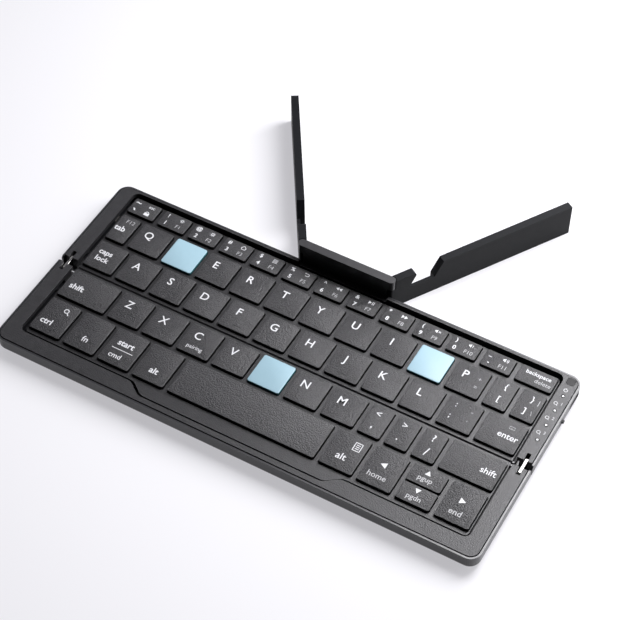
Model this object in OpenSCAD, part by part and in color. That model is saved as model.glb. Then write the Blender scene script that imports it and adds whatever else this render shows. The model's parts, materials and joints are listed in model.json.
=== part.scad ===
// Folding keyboard with a swing-out phone stand.
//
// Two half cases hinge on a pair of link plates and fold keys inward. Each half
// is a tray, a rim frame, a key deck, a support plate, a membrane, domes,
// scissors and keycaps. A fixed lip stands behind the rear half and carries two
// long arms, which lie along the rear wall and swing out to hold a phone.
//
// Millimetres. +X runs along the fold to the right, +Y away from the user and
// +Z up. The origin is on the table, at the centre of the whole footprint.
// Inside a half, v is the distance from the fold line towards the outer wall.

/* [Case] */
// Width over the two side walls
case_w = 222.8; // [200:0.2:240]
// Depth of the rear half, from the fold line to its rear wall
rear_d = 49.7; // [45:0.1:58]
// Depth of the front half, from the fold line to its front wall
front_d = 49.6; // [45:0.1:58]
// Height of one half, from its underside to the top of its rim
shell_h = 7; // [6.8:0.1:9]
// Height that the rubber feet stand below the trays
foot_h = 1; // [0.6:0.1:2]
// Thickness of a tray's floor
floor_t = 0.8; // [0.7:0.05:0.9]
// Thickness of a tray's upright wall
wall_t = 0.75; // [0.6:0.05:1]
// Width of the groove between a tray's wall and its frame
seam = 0.35; // [0.2:0.05:0.5]
// How far a tray's wall stays below the top of the rim
wall_drop = 0.3; // [0.1:0.05:0.6]
// Clear space between each half and the fold line
fold_gap = 0.5; // [0.3:0.05:0.8]
// Corner radius of the trays, seen from above
corner_r = 5; // [4:0.25:7]
// Radius of the trays' rounded bottom edge
edge_r = 2; // [1.2:0.1:2.6]

/* [Rim frames] */
// Width of the rim beside the keys
side_rim_w = 6.4; // [5.6:0.1:6.6]
// Width of the frame along the rear edge
rear_rim_w = 0.8; // [0.6:0.1:1.2]
// Width of the frame along the front edge, at its ends
front_rim_w = 7; // [5:0.1:8]
// Width of the frame along the front edge, before the space bar
front_rim_mid_w = 2.3; // [1.6:0.1:4]
// Length of the narrow stretch of the front rim
mid_stretch = 82; // [60:1:120]
// Length of the curve at each end of that stretch
mid_curve = 9; // [6:0.5:14]
// Thickness of a rim's top skin
rim_t = 0.8; // [0.6:0.05:1]
// Thickness of a frame's upright walls
frame_t = 1; // [0.7:0.05:1.2]
// Corner radius of the key recess
recess_r = 3; // [1.5:0.25:3.5]
// Distance from the fold line to the end of a rim
rim_end = 1.9; // [1.6:0.05:2.2]

/* [Keys] */
// Gap between the outermost keys and the side walls of their recess
side_key_gap = 1.9; // [1.6:0.1:2.6]
// Gap between the number keys and the rear wall of their recess
rear_key_gap = 2.1; // [1.6:0.1:2.6]
// Gap between the bottom row and the front wall of its recess
front_key_gap = 3.8; // [2:0.1:4.4]
// Distance from the fold line to the nearest keys
fold_key_gap = 2.2; // [2:0.1:2.6]
// Gap between neighbouring keys in a row
key_gap = 2.2; // [1.6:0.1:2.6]
// Gap between two rows
row_gap = 2.4; // [1.6:0.1:2.6]
// Ratio of a number key's front-to-back size to a letter key's
number_ratio = 0.58; // [0.5:0.01:0.65]
// Ratio of the number keys' pitch to the letter keys'
number_pitch_ratio = 0.9206; // [0.91:0.0002:0.922]
// Ratio of the tab key with its gap to the letter keys' pitch
tab_ratio = 0.682; // [0.64:0.002:0.72]
// Ratio of the caps lock key with its gap to the letter keys' pitch
caps_ratio = 0.976; // [0.86:0.002:1.04]
// Ratio of the left shift key with its gap to the letter keys' pitch
shift_ratio = 1.5; // [1.3:0.01:1.6]
// Ratio of the comma, stop and slash keys with their gaps to the letter keys' pitch
punct_ratio = 0.706; // [0.68:0.002:0.74]
// Gap between the up and down halves of the split arrow key
split_gap = 0.8; // [0.6:0.1:1.2]
// Corner radius of a keycap
key_r = 0.9; // [0.5:0.1:1.4]
// Height of a keycap
cap_h = 2; // [1.9:0.05:2.2]
// How far the keycaps stand above the key deck
cap_show = 1.3; // [1.25:0.05:1.5]
// Thickness of a keycap's top and skirt
cap_t = 0.8; // [0.6:0.05:0.9]
// How far the keycaps' tops stay below the rim
key_drop = 0.8; // [0.6:0.1:1.2]
// Travel of a key
key_travel = 1.2; // [0.8:0.05:1.2]
// Clear space between a keycap and its opening in the deck
key_clear = 0.25; // [0.2:0.05:0.35]

/* [Plates under the keys] */
// Thickness of the key deck
deck_t = 0.8; // [0.6:0.05:0.9]
// Width of the open groove between the key deck and the rim's walls
deck_groove = 1.3; // [0.8:0.1:1.5]
// Width of that groove along the front edge
front_groove = 1.9; // [1.2:0.1:2.2]
// Thickness of the steel support plate
plate_t = 0.4; // [0.3:0.05:0.5]
// Thickness of the switch membrane
membrane_t = 0.2; // [0.1:0.05:0.25]
// Clear space between a pressed keycap and the membrane
press_gap = 0.1; // [0.05:0.05:0.2]

/* [Fold hinge] */
// Distance from the fold line to each hinge pin
pin_v = 3.3; // [3.1:0.05:3.6]
// Depth of the hinge pins below the top of the rim
pin_drop = 3; // [2.7:0.05:3.05]
// Radius of the hinge pins
pin_r = 0.8; // [0.6:0.05:0.9]
// Running clearance of a hinge pin in its bore
pin_clear = 0.05; // [0.03:0.01:0.08]
// Radius of the round ends of a link plate
link_r = 1.8; // [1.5:0.05:1.85]
// Thickness of a link plate
link_t = 1.2; // [0.8:0.1:1.6]
// Width of the slot that a link plate swings in
slot_w = 1.8; // [1.7:0.1:2.2]

/* [Phone stand] */
// Height of the lip and the arms, which is also the height when folded
stand_h = 16.4; // [14:0.1:20]
// Thickness of the lip
lip_t = 3.8; // [3.6:0.1:5]
// Thickness of an arm
arm_t = 3.5; // [2.5:0.1:3.6]
// Distance between the two arm pivots
pivot_span = 42.6; // [36:0.2:60]
// Length of an arm, from its pivot to its free end
arm_len = 89.6; // [70:0.2:90]
// Angle of an open arm from straight back
arm_angle = 32; // [20:1:45]
// Clear space between the rear wall and the lip
lip_gap = 0.15; // [0.1:0.05:0.4]
// Radius of the arm pins
arm_pin_r = 0.7; // [0.5:0.05:0.8]
// Height of the notch's floor above the table
notch_z = 8.9; // [7:0.1:12]
// Distance from the pivot to the front of the notch's floor
notch_start = 8; // [6:0.5:12]
// Length of the notch's floor
notch_len = 12.5; // [9:0.5:16]
// Lean of the notch's sides from upright
notch_lean = 29; // [20:1:38]
// Thickness of the ledge that the notch's floor leaves along the arm's outer face
ledge_t = 1.4; // [1:0.1:2.5]
// Radius of the hook's tip before the notch
hook_r = 1.2; // [0.6:0.1:1.4]

/* [Ports and controls] */
// Distance from the rear wall to the charging port
port_in = 9.2; // [8.7:0.1:10.6]
// Width of the charging port's shell
port_w = 8.94; // [8.9:0.02:9]
// Height of the charging port's shell
port_h = 3.2; // [3.1:0.02:3.22]
// Distance from the rear wall to the slide switch's knob
knob_in = 20.4; // [19.8:0.1:21.6]
// Travel of the slide switch
knob_travel = 2.2; // [1:0.1:2.6]
// Distance from the rear wall to the pairing button
button_in = 3.6; // [3.5:0.1:3.9]
// Width of the pairing button
button_w = 3.6; // [3:0.1:3.8]
// Travel of the pairing button
button_travel = 0.25; // [0.15:0.05:0.25]
// Distance from the fold line to the nearest indicator
led_v = 13.3; // [13:0.1:14]
// Radius of an indicator's light pipe
led_r = 0.45; // [0.3:0.05:0.6]

/* [Hidden] */

// Levels, from the table up
tray_z = foot_h;
floor_z = tray_z + floor_t;
rim_z = tray_z + shell_h;
wall_z = rim_z - wall_drop;
cap_top_z = rim_z - key_drop;
cap_low_z = cap_top_z - cap_h;
deck_z = cap_top_z - cap_show;
membrane_z = cap_low_z - key_travel - press_gap;
plate_z = membrane_z - membrane_t;
plate_low_z = plate_z - plate_t;
pin_z = rim_z - pin_drop;
skin_z = rim_z - rim_t;
seat_gap = 0.05;
eps = 0.01;

// Plan of the case
case_x = case_w / 2;
frame_x = case_x - wall_t - seam;
recess_x = frame_x - side_rim_w;
rim_mid_x = (frame_x - frame_t + recess_x + frame_t) / 2;
frame_r = corner_r - wall_t - seam;
inner_wall_x = recess_x + frame_t;
plate_x = recess_x - 0.4;
plate_edge = 0.7;
rear_frame_v = rear_d - wall_t - seam;
rear_recess_v = rear_frame_v - rear_rim_w;
front_frame_v = front_d - wall_t - seam;
front_recess_v = front_frame_v - front_rim_w;
front_mid_v = front_frame_v - front_rim_mid_w;
rear_plate_v = rear_recess_v - 1.8;
front_plate_v = front_recess_v - 1;

// Rows of keys, each key as [x0, x1, v0, v1]
key_x1 = recess_x - side_key_gap;
key_x0 = -key_x1;
keys_w = key_x1 - key_x0;
key_pitch = keys_w / 12;
letter_w = key_pitch - key_gap;
rear_keys_d = rear_recess_v - rear_key_gap - fold_key_gap;
letter_d = (rear_keys_d - 2 * row_gap) / (2 + number_ratio);
number_d = number_ratio * letter_d;
row_v1 = fold_key_gap;
row_v2 = row_v1 + letter_d + row_gap;
row_v3 = row_v2 + letter_d + row_gap;
bottom_d = front_recess_v - front_key_gap - row_v2;
number_pitch = number_pitch_ratio * key_pitch;
number_w = number_pitch - row_gap;
punct_w = punct_ratio * key_pitch - key_gap;
q_x = key_x0 + tab_ratio * key_pitch;
a_x = key_x0 + caps_ratio * key_pitch;
z_x = key_x0 + shift_ratio * key_pitch;
comma_x = z_x + 7 * key_pitch;
bracket_w = (key_x1 - q_x - 10 * key_pitch - key_gap) / 2;
split_d = (bottom_d - split_gap) / 2;

// Posts under the key decks
post_r = 0.7;
post_pitch = 2.4 * key_pitch;
front_post_v = front_recess_v - front_groove - post_r - 0.15;

function letter(x, i, v) = [x + i * key_pitch, x + i * key_pitch + letter_w, v, v + letter_d];
function number(i) = [
    key_x0 + i * number_pitch, key_x0 + i * number_pitch + number_w, row_v3, row_v3 + number_d
];
function punct(i) = [
    comma_x + i * (punct_w + key_gap), comma_x + i * (punct_w + key_gap) + punct_w,
    row_v1, row_v1 + letter_d
];
function bottom_left(i) = [
    key_x0 + i * key_pitch, key_x0 + i * key_pitch + letter_w, row_v2, row_v2 + bottom_d
];
function bottom_right(i) = [
    key_x1 - i * key_pitch - letter_w, key_x1 - i * key_pitch, row_v2, row_v2 + bottom_d
];
function bracket(i) = [
    key_x1 - (2 - i) * bracket_w - (1 - i) * key_gap, key_x1 - (1 - i) * (bracket_w + key_gap),
    row_v2, row_v2 + letter_d
];

escape_caps = [number(0)];
number_caps = [for (i = [1:11]) number(i)];
backspace_caps = [[key_x0 + 12 * number_pitch, key_x1, row_v3, row_v3 + number_d]];
tab_caps = [[key_x0, q_x - key_gap, row_v2, row_v2 + letter_d]];
accent_w_caps = [letter(q_x, 1, row_v2)];
accent_o_caps = [letter(q_x, 8, row_v2)];
upper_caps = concat(
    [for (i = [0, 2, 3, 4, 5, 6, 7, 9]) letter(q_x, i, row_v2)], [bracket(0), bracket(1)]
);
caps_lock_caps = [[key_x0, a_x - key_gap, row_v1, row_v1 + letter_d]];
home_caps = [for (i = [0:9]) letter(a_x, i, row_v1)];
enter_caps = [[a_x + 10 * key_pitch, key_x1, row_v1, row_v1 + letter_d]];
left_shift_caps = [[key_x0, z_x - key_gap, row_v1, row_v1 + letter_d]];
accent_b_caps = [letter(z_x, 4, row_v1)];
lower_caps = concat(
    [for (i = [0, 1, 2, 3, 5, 6]) letter(z_x, i, row_v1)], [for (i = [0:2]) punct(i)]
);
right_shift_caps = [[punct(2)[1] + key_gap, key_x1, row_v1, row_v1 + letter_d]];
space_caps = [[
    key_x0 + 4 * key_pitch, key_x1 - 4 * key_pitch, row_v2, row_v2 + bottom_d
]];
split_x = bottom_right(1);
arrow_up_caps = [[split_x[0], split_x[1], row_v2, row_v2 + split_d]];
arrow_down_caps = [[split_x[0], split_x[1], row_v2 + split_d + split_gap, row_v2 + bottom_d]];

rear_caps = concat(
    escape_caps, number_caps, backspace_caps, tab_caps, accent_w_caps, accent_o_caps,
    upper_caps, caps_lock_caps, home_caps, enter_caps
);
front_caps = concat(
    left_shift_caps, accent_b_caps, lower_caps, right_shift_caps,
    [for (i = [0:3]) bottom_left(i)], space_caps,
    [bottom_right(3), bottom_right(2), bottom_right(0)], arrow_up_caps, arrow_down_caps
);

// Scissors, at most this deep and wide
scissor_d = 10;
scissor_w = 11;

// Fold hinge
link_x = rim_mid_x + 0.5;
slot_end_v = pin_v + link_r + 0.6;
block_end_v = slot_end_v + 1.5;
block_x = inner_wall_x + 0.1;
nose_r = pin_v - 0.05;
pin_x0 = block_x + 0.5;
pin_x1 = frame_x - 0.6;
slot_floor_z = pin_z - link_r - 0.2;

// Phone stand
lip_v = rear_d + lip_gap;
pivot_v = lip_v + lip_t / 2;
pivot_x = pivot_span / 2;
knuckle_z = [stand_h * 0.3, stand_h * 0.7];
knuckle_gap = 0.1;
arm_root = lip_t / 2 + 0.35;
notch_top = (stand_h - notch_z) * tan(notch_lean);
relief_z = 2.4;
relief_cut = 0.05;
tab_x = pivot_x - 3.3;
tab_t = 1.6;
tab_reach = 3.4;
lip_cut_x = pivot_x + 0.15;
lip_screw_x = pivot_x - 7.3;
lip_screw_v = lip_v - 2.2;

// Footprint, which sets where the origin is
arm_reach_v = pivot_v + arm_len * cos(arm_angle) + arm_t / 2 * sin(arm_angle);
fold_y = (front_d - arm_reach_v) / 2;

// Screws
screw_head_r = 1.35;
screw_head_h = 0.8;
screw_r = 0.75;
screw_top_z = 5.4;
screw_play = 0.06;
boss_r = 2;
frame_boss_r = 1.5;
web_t = 0.7;
boss_z = tray_z + screw_head_h + 0.1 + web_t;
screw_x = rim_mid_x;
screw_in = 4.6;
rear_screws_at = [
    [-screw_x, rear_frame_v - screw_in], [-screw_x, block_end_v + screw_in],
    [screw_x, block_end_v + 2]
];
front_screws_at = [
    [-screw_x, front_frame_v - screw_in], [-screw_x, block_end_v + screw_in],
    [screw_x, front_frame_v - screw_in], [screw_x, block_end_v + screw_in]
];

// Electronics
board_t = 0.6;
board_z = floor_z + 0.1;
board_x0 = 0.58 * plate_x;
board_x1 = frame_x - frame_t - 0.2;
board_v0 = rear_screws_at[2][1] + boss_r + 0.3;
board_v1 = rear_plate_v;
chip_h = 0.65;
radio_size = [12, 10];
controller_size = [6, 6];
charger_size = [3, 3];
socket_size = [2.5, 10];
part_z = board_z + board_t;
port_v = rear_d - port_in;
knob_v = rear_d - knob_in;
button_v = rear_d - button_in;
port_z = part_z + port_h / 2;
port_x0 = inner_wall_x + 0.2;
port_x1 = case_x - 0.2;
port_t = 0.3;
port_play = 0.13;
switch_l = 6.6;
switch_h = 2.4;
switch_v = knob_v - knob_travel / 2;
knob_w = 1.4;
knob_t = 1;
knob_z = part_z + switch_h / 2;
knob_play = 0.12;
knob_out = 0.7;
strip_t = 0.4;
strip_z = part_z + port_h + seat_gap;
strip_top_z = strip_z + strip_t;
led_x = rim_mid_x + 0.2;
led_count = 4;
led_pitch = (button_v - led_v) / led_count;
button_x = rim_mid_x + 0.1;
button_z = skin_z - 0.35;
tact_w = 2.6;
magnet = [4, 3.6, 2.4];
magnet_v = (switch_v + switch_l / 2 + port_v - port_w / 2) / 2;
rib_x = [-0.19 * plate_x, 0.17 * plate_x, 0.48 * plate_x];
rib_w = 1;
rib_end = 9;
battery_gap = 10;
battery_x0 = -plate_x + 7.5;
battery_x1 = rib_x[0] - battery_gap;
battery_v0 = fold_gap + plate_edge + 3.8;
battery_v1 = rear_plate_v - 9;
battery_t = 1.2;
cable_x = board_x0 + 10;
cable_w = 10;
cable_t = 0.2;
cable_reach = 7;
cable_on_board = 1.5;
cable_z = part_z + seat_gap;
foot_size = [16, 4];
foot_sink = 0.3;
foot_in_x = 19.4;
foot_x = case_x - foot_in_x;
foot_in_v = 7;
foot_out = 6;

charcoal = [0.16, 0.16, 0.17];
slate = [0.27, 0.27, 0.29];
cap_grey = [0.20, 0.20, 0.21];
accent = [0.74, 0.90, 0.92];
steel = [0.75, 0.76, 0.78];

// Puts a half-case drawing, made at +v, behind or before the fold line
module in_rear() {
    translate([0, fold_y, 0]) children();
}

module in_front() {
    translate([0, fold_y, 0]) mirror([0, 1, 0]) children();
}

module both_sides() {
    children();
    mirror([1, 0, 0]) children();
}

module block(low, high) {
    translate(low) cube(high - low);
}

// A plan from v = v0 to v1 whose two outer corners are round
module outer_plan(x, v0, v1, r) {
    square_from([-x, v0], [x, v1 - r]);
    square_from([-x + r, v0], [x - r, v1]);
    for (s = [-1, 1]) translate([s * (x - r), v1 - r]) circle(r, $fn = 64);
}

module square_from(low, high) {
    translate(low) square(high - low);
}

// Points of a keycap's outline, with three flats on each round corner
function quarter(x, y, r, a) = [for (i = [0:3]) [x + r * cos(a + 30 * i), y + r * sin(a + 30 * i)]];
function cap_points(k, grow, r) = concat(
    quarter(k[1] + grow - r, k[3] + grow - r, r, 0),
    quarter(k[0] - grow + r, k[3] + grow - r, r, 90),
    quarter(k[0] - grow + r, k[2] - grow + r, r, 180),
    quarter(k[1] + grow - r, k[2] - grow + r, r, 270)
);

module keycap(k) {
    difference() {
        translate([0, 0, cap_low_z]) linear_extrude(cap_h) polygon(cap_points(k, 0, key_r));
        translate([0, 0, cap_low_z - eps])
            linear_extrude(cap_h - cap_t + eps) polygon(cap_points(k, -cap_t, key_r / 2));
    }
}

module keycaps(list) {
    for (k = list) keycap(k);
}

// The plate round the keys, on posts that stand between the rows
module key_deck(list, posts_at) {
    translate([0, 0, deck_z - deck_t]) linear_extrude(deck_t) difference() {
        intersection() {
            children();
            square_from([-case_x, fold_gap], [case_x, rear_d + front_d]);
        }
        for (k = list) polygon(cap_points(k, key_clear, key_r));
    }
    for (v = posts_at, i = [-2:2])
        translate([i * post_pitch, v, membrane_z + seat_gap])
            cylinder(h = deck_z - deck_t - membrane_z, r = post_r, $fn = 24);
}

module sheet(v1, z, t) {
    block([-plate_x, fold_gap + plate_edge + 0.3, z], [plate_x, v1, z + t]);
}

function mid(k) = [(k[0] + k[1]) / 2, (k[2] + k[3]) / 2];
function dome_r(k) = min(2.5, (k[3] - k[2]) / 4 - 0.1, (k[1] - k[0]) / 4 - 0.5);

module domes(list) {
    for (k = list)
        translate([mid(k)[0], mid(k)[1], membrane_z])
            cylinder(h = cap_top_z - cap_t - membrane_z - seat_gap, r1 = dome_r(k),
                     r2 = dome_r(k) * 0.55, $fn = 24);
}

// Two crossed frames that carry one keycap
module scissor(k) {
    span = min(k[3] - k[2] - 2 * cap_t - 1, scissor_d);
    width = min(k[1] - k[0] - 2 * cap_t - 1, scissor_w);
    rise = (cap_top_z - cap_t - membrane_z) / 2 - 0.35;
    tilt = asin(2 * rise / span);
    bar = 0.7;
    translate([mid(k)[0], mid(k)[1], (cap_top_z - cap_t + membrane_z) / 2])
        for (side = [0, 1]) {
            half = width / 2 - side * (bar + 0.1);
            rotate([side == 0 ? tilt : -tilt, 0, 0]) difference() {
                block([-half, -span / 2, -0.2], [half, span / 2, 0.2]);
                block([-half + bar, -span / 2 + bar, -1], [half - bar, span / 2 - bar, 1]);
            }
        }
}

module scissors(list) {
    for (k = list) scissor(k);
}

// The solid of a tray before it is hollowed: upright walls over a rounded bottom edge
module tray_body(d) {
    translate([0, 0, tray_z + edge_r])
        linear_extrude(wall_z - tray_z - edge_r) outer_plan(case_x, fold_gap, d, corner_r);
    hull() for (a = [0:15:90]) {
        inset = edge_r * (1 - sin(a));
        translate([0, 0, tray_z + edge_r * (1 - cos(a))]) linear_extrude(eps)
            outer_plan(case_x - inset, fold_gap, d - inset, corner_r - inset);
    }
}

// Keeps the fold end of a side wall inside the circle that it turns in
module nose_cut() {
    difference() {
        block([recess_x, -1, pin_z], [case_x + 1, pin_v, rim_z + 1]);
        translate([recess_x - 1, pin_v, pin_z]) rotate([0, 90, 0])
            cylinder(h = side_rim_w * 2, r = nose_r, $fn = 64);
    }
}

module foot_places(d) {
    for (s = [-1, 1], v = [foot_in_v, d - foot_out]) translate([s * foot_x, v, 0]) children();
}

module foot_plan(play) {
    l = foot_size[0] - foot_size[1];
    square_from([-l / 2, -foot_size[1] / 2 - play], [l / 2, foot_size[1] / 2 + play]);
    for (s = [-1, 1]) translate([s * l / 2, 0]) circle(foot_size[1] / 2 + play, $fn = 32);
}

module feet(d) {
    foot_places(d) linear_extrude(foot_h + foot_sink) foot_plan(0);
}

module tray(d, screws_at) {
    inner_x = case_x - wall_t;
    difference() {
        union() {
            difference() {
                tray_body(d);
                translate([0, 0, floor_z]) linear_extrude(shell_h)
                    outer_plan(inner_x, -1, d - wall_t, corner_r - wall_t);
                both_sides() nose_cut();
            }
            // Upright edge along the fold, between the hinges
            block([-plate_x, fold_gap, tray_z + eps],
                  [plate_x, fold_gap + plate_edge, deck_z - deck_t - 0.1]);
            // Ribs that carry the support plate
            for (x = rib_x)
                block([x - rib_w / 2, fold_gap + plate_edge - eps, floor_z - eps],
                      [x + rib_w / 2, d - rib_end, plate_low_z]);
            for (p = screws_at) translate([p[0], p[1], tray_z + 0.2])
                cylinder(h = boss_z - tray_z - 0.2, r = boss_r, $fn = 32);
        }
        for (p = screws_at) translate([p[0], p[1], tray_z - eps]) {
            cylinder(h = screw_head_h + 0.1 + eps, r = screw_head_r + 0.1, $fn = 32);
            cylinder(h = shell_h, r = screw_r + screw_play, $fn = 24);
        }
        foot_places(d) translate([0, 0, tray_z - eps]) linear_extrude(foot_sink + eps) foot_plan(0.1);
        // Window for the cable that crosses the fold
        block([cable_x - cable_w / 2 - 0.5, 0, cable_z - 0.3],
              [cable_x + cable_w / 2 + 0.5, fold_gap + plate_edge + 1, cable_z + cable_t + 0.4]);
    }
}

// A hinge block with the slot for a link plate and the bore for its pin
module hinge_block() {
    difference() {
        union() {
            block([block_x, rim_end, floor_z + seat_gap], [frame_x, block_end_v, rim_z]);
            block([recess_x, rim_end, deck_z], [frame_x, block_end_v, rim_z]);
        }
        block([link_x - slot_w / 2, 0, slot_floor_z], [link_x + slot_w / 2, slot_end_v, rim_z + 1]);
        translate([pin_x0 - 0.1, pin_v, pin_z]) rotate([0, 90, 0])
            cylinder(h = pin_x1 - pin_x0 + 0.2, r = pin_r + pin_clear, $fn = 48);
        nose_cut();
    }
}

// Rim, outer skirt and inner wall of a half, before its own cut-outs
module frame(v_out, screws_at) {
    difference() {
        union() {
            difference() {
                translate([0, 0, floor_z + seat_gap])
                    linear_extrude(rim_z - floor_z - seat_gap)
                    outer_plan(frame_x, block_end_v - eps, v_out, frame_r);
                // Room below the rim, between skirt and inner wall
                translate([0, 0, floor_z]) linear_extrude(skin_z - floor_z) difference() {
                    outer_plan(frame_x - frame_t, -1, v_out - frame_t, frame_r - frame_t);
                    children(0);
                }
                // Everything inside the inner wall is open below the deck's top
                translate([0, 0, floor_z]) linear_extrude(deck_z - floor_z)
                    outer_plan(frame_x - frame_t, -1, v_out - frame_t, frame_r - frame_t);
                translate([0, 0, floor_z]) linear_extrude(shell_h) children(1);
            }
            both_sides() hinge_block();
            for (p = screws_at) translate([p[0], p[1], boss_z + seat_gap])
                cylinder(h = skin_z - boss_z + 0.1, r = frame_boss_r, $fn = 32);
        }
        for (p = screws_at) translate([p[0], p[1], boss_z - 1])
            cylinder(h = screw_top_z + 0.3 - boss_z + 1, r = screw_r + screw_play, $fn = 24);
    }
}

module screws(screws_at) {
    for (p = screws_at) translate([p[0], p[1], tray_z + 0.1]) difference() {
        union() {
            cylinder(h = screw_head_h, r = screw_head_r, $fn = 32);
            cylinder(h = screw_top_z - tray_z - 0.1, r = screw_r, $fn = 24);
        }
        translate([0, 0, -eps]) for (a = [0, 90]) rotate([0, 0, a])
            block([-0.9, -0.18, 0], [0.9, 0.18, 0.45]);
    }
}

// The key recess of a half, grown by a wall or shrunk by a groove where it is asked for
module rear_recess(grow) {
    outer_plan(recess_x + grow, -1, rear_recess_v + grow, max(recess_r + grow, 0.2));
}

module front_recess(side, front) {
    outer_plan(recess_x + side, -1, front_recess_v + front, max(recess_r + side, 0.2));
    steps = 8;
    depth = front_mid_v - front_recess_v;
    ramp = [for (i = [0:steps])
        [mid_stretch / 2 + mid_curve * (1 - i / steps),
         front_recess_v + front + depth * (1 - cos(180 * i / steps)) / 2]];
    back = [for (i = [steps:-1:0]) [-ramp[i][0], ramp[i][1]]];
    start_v = front_recess_v / 2;
    polygon(concat(
        [[mid_stretch / 2 + mid_curve, start_v]], ramp, back, [[-mid_stretch / 2 - mid_curve, start_v]]
    ));
}

module magnets(z) {
    both_sides() translate([rim_mid_x, magnet_v, z + magnet[2] / 2]) cube(magnet, center = true);
}

// ---- Rear half ----

module rear_tray() {
    color(slate) in_rear() difference() {
        union() {
            tray(rear_d, rear_screws_at);
            for (s = [-1, 1]) translate([s * lip_screw_x, lip_screw_v, tray_z + 0.2])
                cylinder(h = boss_z - tray_z - 0.2, r = boss_r, $fn = 32);
        }
        // Gate in the rear wall that the lip's tab reaches through
        block([-lip_cut_x, rear_d - wall_t - 1.2, boss_z], [lip_cut_x, rear_d + 1, rim_z]);
        block([-lip_cut_x, rear_d - wall_t - eps, floor_z], [lip_cut_x, rear_d + 1, rim_z]);
        for (s = [-1, 1]) translate([s * lip_screw_x, lip_screw_v, tray_z - eps]) {
            cylinder(h = screw_head_h + 0.1 + eps, r = screw_head_r + 0.1, $fn = 32);
            cylinder(h = shell_h, r = screw_r + screw_play, $fn = 24);
        }
        port_cut();
        knob_cut();
    }
}

// Opening for the charging port through the tray's wall and the frame's skirt
module port_cut() {
    w = port_w + 2 * port_play;
    h = port_h + 2 * port_play;
    translate([frame_x - frame_t - 1, port_v, port_z]) rotate([90, 0, 90]) linear_extrude(6) {
        square([w - h, h], center = true);
        for (s = [-1, 1]) translate([s * (w - h) / 2, 0]) circle(h / 2, $fn = 48);
    }
}

// Slot for the slide switch's knob through the same two walls
module knob_cut() {
    block([frame_x - frame_t - 1, knob_v - knob_travel - knob_w / 2 - 0.3, knob_z - knob_t / 2 - 0.2],
          [case_x + 1, knob_v + knob_w / 2 + 0.3, knob_z + knob_t / 2 + 0.2]);
}

module rear_frame() {
    color(slate) in_rear() difference() {
        frame(rear_frame_v, rear_screws_at) {
            rear_recess(frame_t);
            rear_recess(0);
        }
        // Gap in front of the lip, with a strip left in it that lies flush with the deck
        block([-lip_cut_x, rear_recess_v - eps, 0], [lip_cut_x, rear_d, deck_z - deck_t]);
        block([-lip_cut_x, rear_recess_v - eps, deck_z], [lip_cut_x, rear_d, rim_z + 1]);
        port_cut();
        knob_cut();
        // Holes for the pairing button and the light pipes
        translate([button_x, button_v, skin_z - 1])
            linear_extrude(rim_t + 2) button_plan(0.1);
        for (i = [0:led_count - 1])
            translate([led_x, led_v + i * led_pitch, skin_z - 1])
                cylinder(h = rim_t + 2, r = led_r + 0.05, $fn = 24);
    }
}

module rear_key_deck() {
    color(charcoal) in_rear()
        key_deck(rear_caps, [row_v2 - row_gap / 2, row_v3 - row_gap / 2]) rear_recess(-deck_groove);
}

module rear_support_plate() {
    color(steel) in_rear() sheet(rear_plate_v, plate_low_z, plate_t);
}

module rear_membrane() {
    color([0.35, 0.42, 0.38]) in_rear() sheet(rear_plate_v, plate_z, membrane_t);
}

module rear_domes() {
    color([0.85, 0.85, 0.82]) in_rear() domes(rear_caps);
}

module rear_scissors() {
    color([0.9, 0.9, 0.9]) in_rear() scissors(rear_caps);
}

module rear_magnets() {
    color(steel) in_rear() magnets(part_z + 0.1);
}

module rear_feet() {
    color([0.1, 0.1, 0.1]) in_rear() feet(rear_d);
}

module rear_screws() {
    lip_screws_at = [[-lip_screw_x, lip_screw_v], [lip_screw_x, lip_screw_v]];
    color(steel) in_rear() {
        screws(rear_screws_at);
        intersection() {
            screws(lip_screws_at);
            block([-case_x, 0, 0], [case_x, rear_d + 1, boss_z + tab_t - 0.2]);
        }
    }
}

// ---- Electronics in the rear half ----

// Keeps a piece clear of the round corners inside the frame's skirt
module inside_skirt() {
    intersection() {
        children();
        linear_extrude(rim_z + 1)
            outer_plan(frame_x - frame_t - 0.15, -1, rear_frame_v - frame_t - 0.15, frame_r - frame_t);
    }
}

module main_board() {
    color([0.05, 0.3, 0.15]) in_rear() inside_skirt()
        block([board_x0, board_v0, board_z], [board_x1, board_v1, part_z]);
}

module chip(size, share_x, share_v) {
    x = board_x0 + share_x * (board_x1 - board_x0);
    v = board_v0 + share_v * (board_v1 - board_v0);
    block([x, v, part_z], [x + size[0], v + size[1], part_z + chip_h]);
}

module board_components() {
    color([0.12, 0.12, 0.13]) in_rear() inside_skirt() {
        // Radio module, controller, charger and cable socket, placed by shares of the board
        chip(radio_size, 0.12, 0.25);
        chip(controller_size, 0.49, 0.30);
        chip(charger_size, 0.69, 0.65);
        chip(socket_size, 0.04, 0.65);
        // Tact switch under the pairing button, and the four light sources
        block([button_x - tact_w / 2, button_v - tact_w / 2, strip_top_z],
              [button_x + tact_w / 2, button_v + tact_w / 2, button_z - button_travel - seat_gap]);
        for (i = [0:led_count - 1])
            translate([led_x, led_v + i * led_pitch, strip_top_z + 0.15])
                cube([1.6, 0.8, 0.3], center = true);
    }
}

module indicator_board() {
    color([0.05, 0.3, 0.15]) in_rear() inside_skirt()
        block([inner_wall_x + 0.2, led_v - 1.5, strip_z],
              [frame_x - frame_t - 0.2, button_v + 1.3, strip_top_z]);
}

module battery() {
    color([0.7, 0.7, 0.72]) in_rear()
        block([battery_x0, battery_v0, floor_z + seat_gap],
              [battery_x1, battery_v1, floor_z + seat_gap + battery_t]);
}

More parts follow.
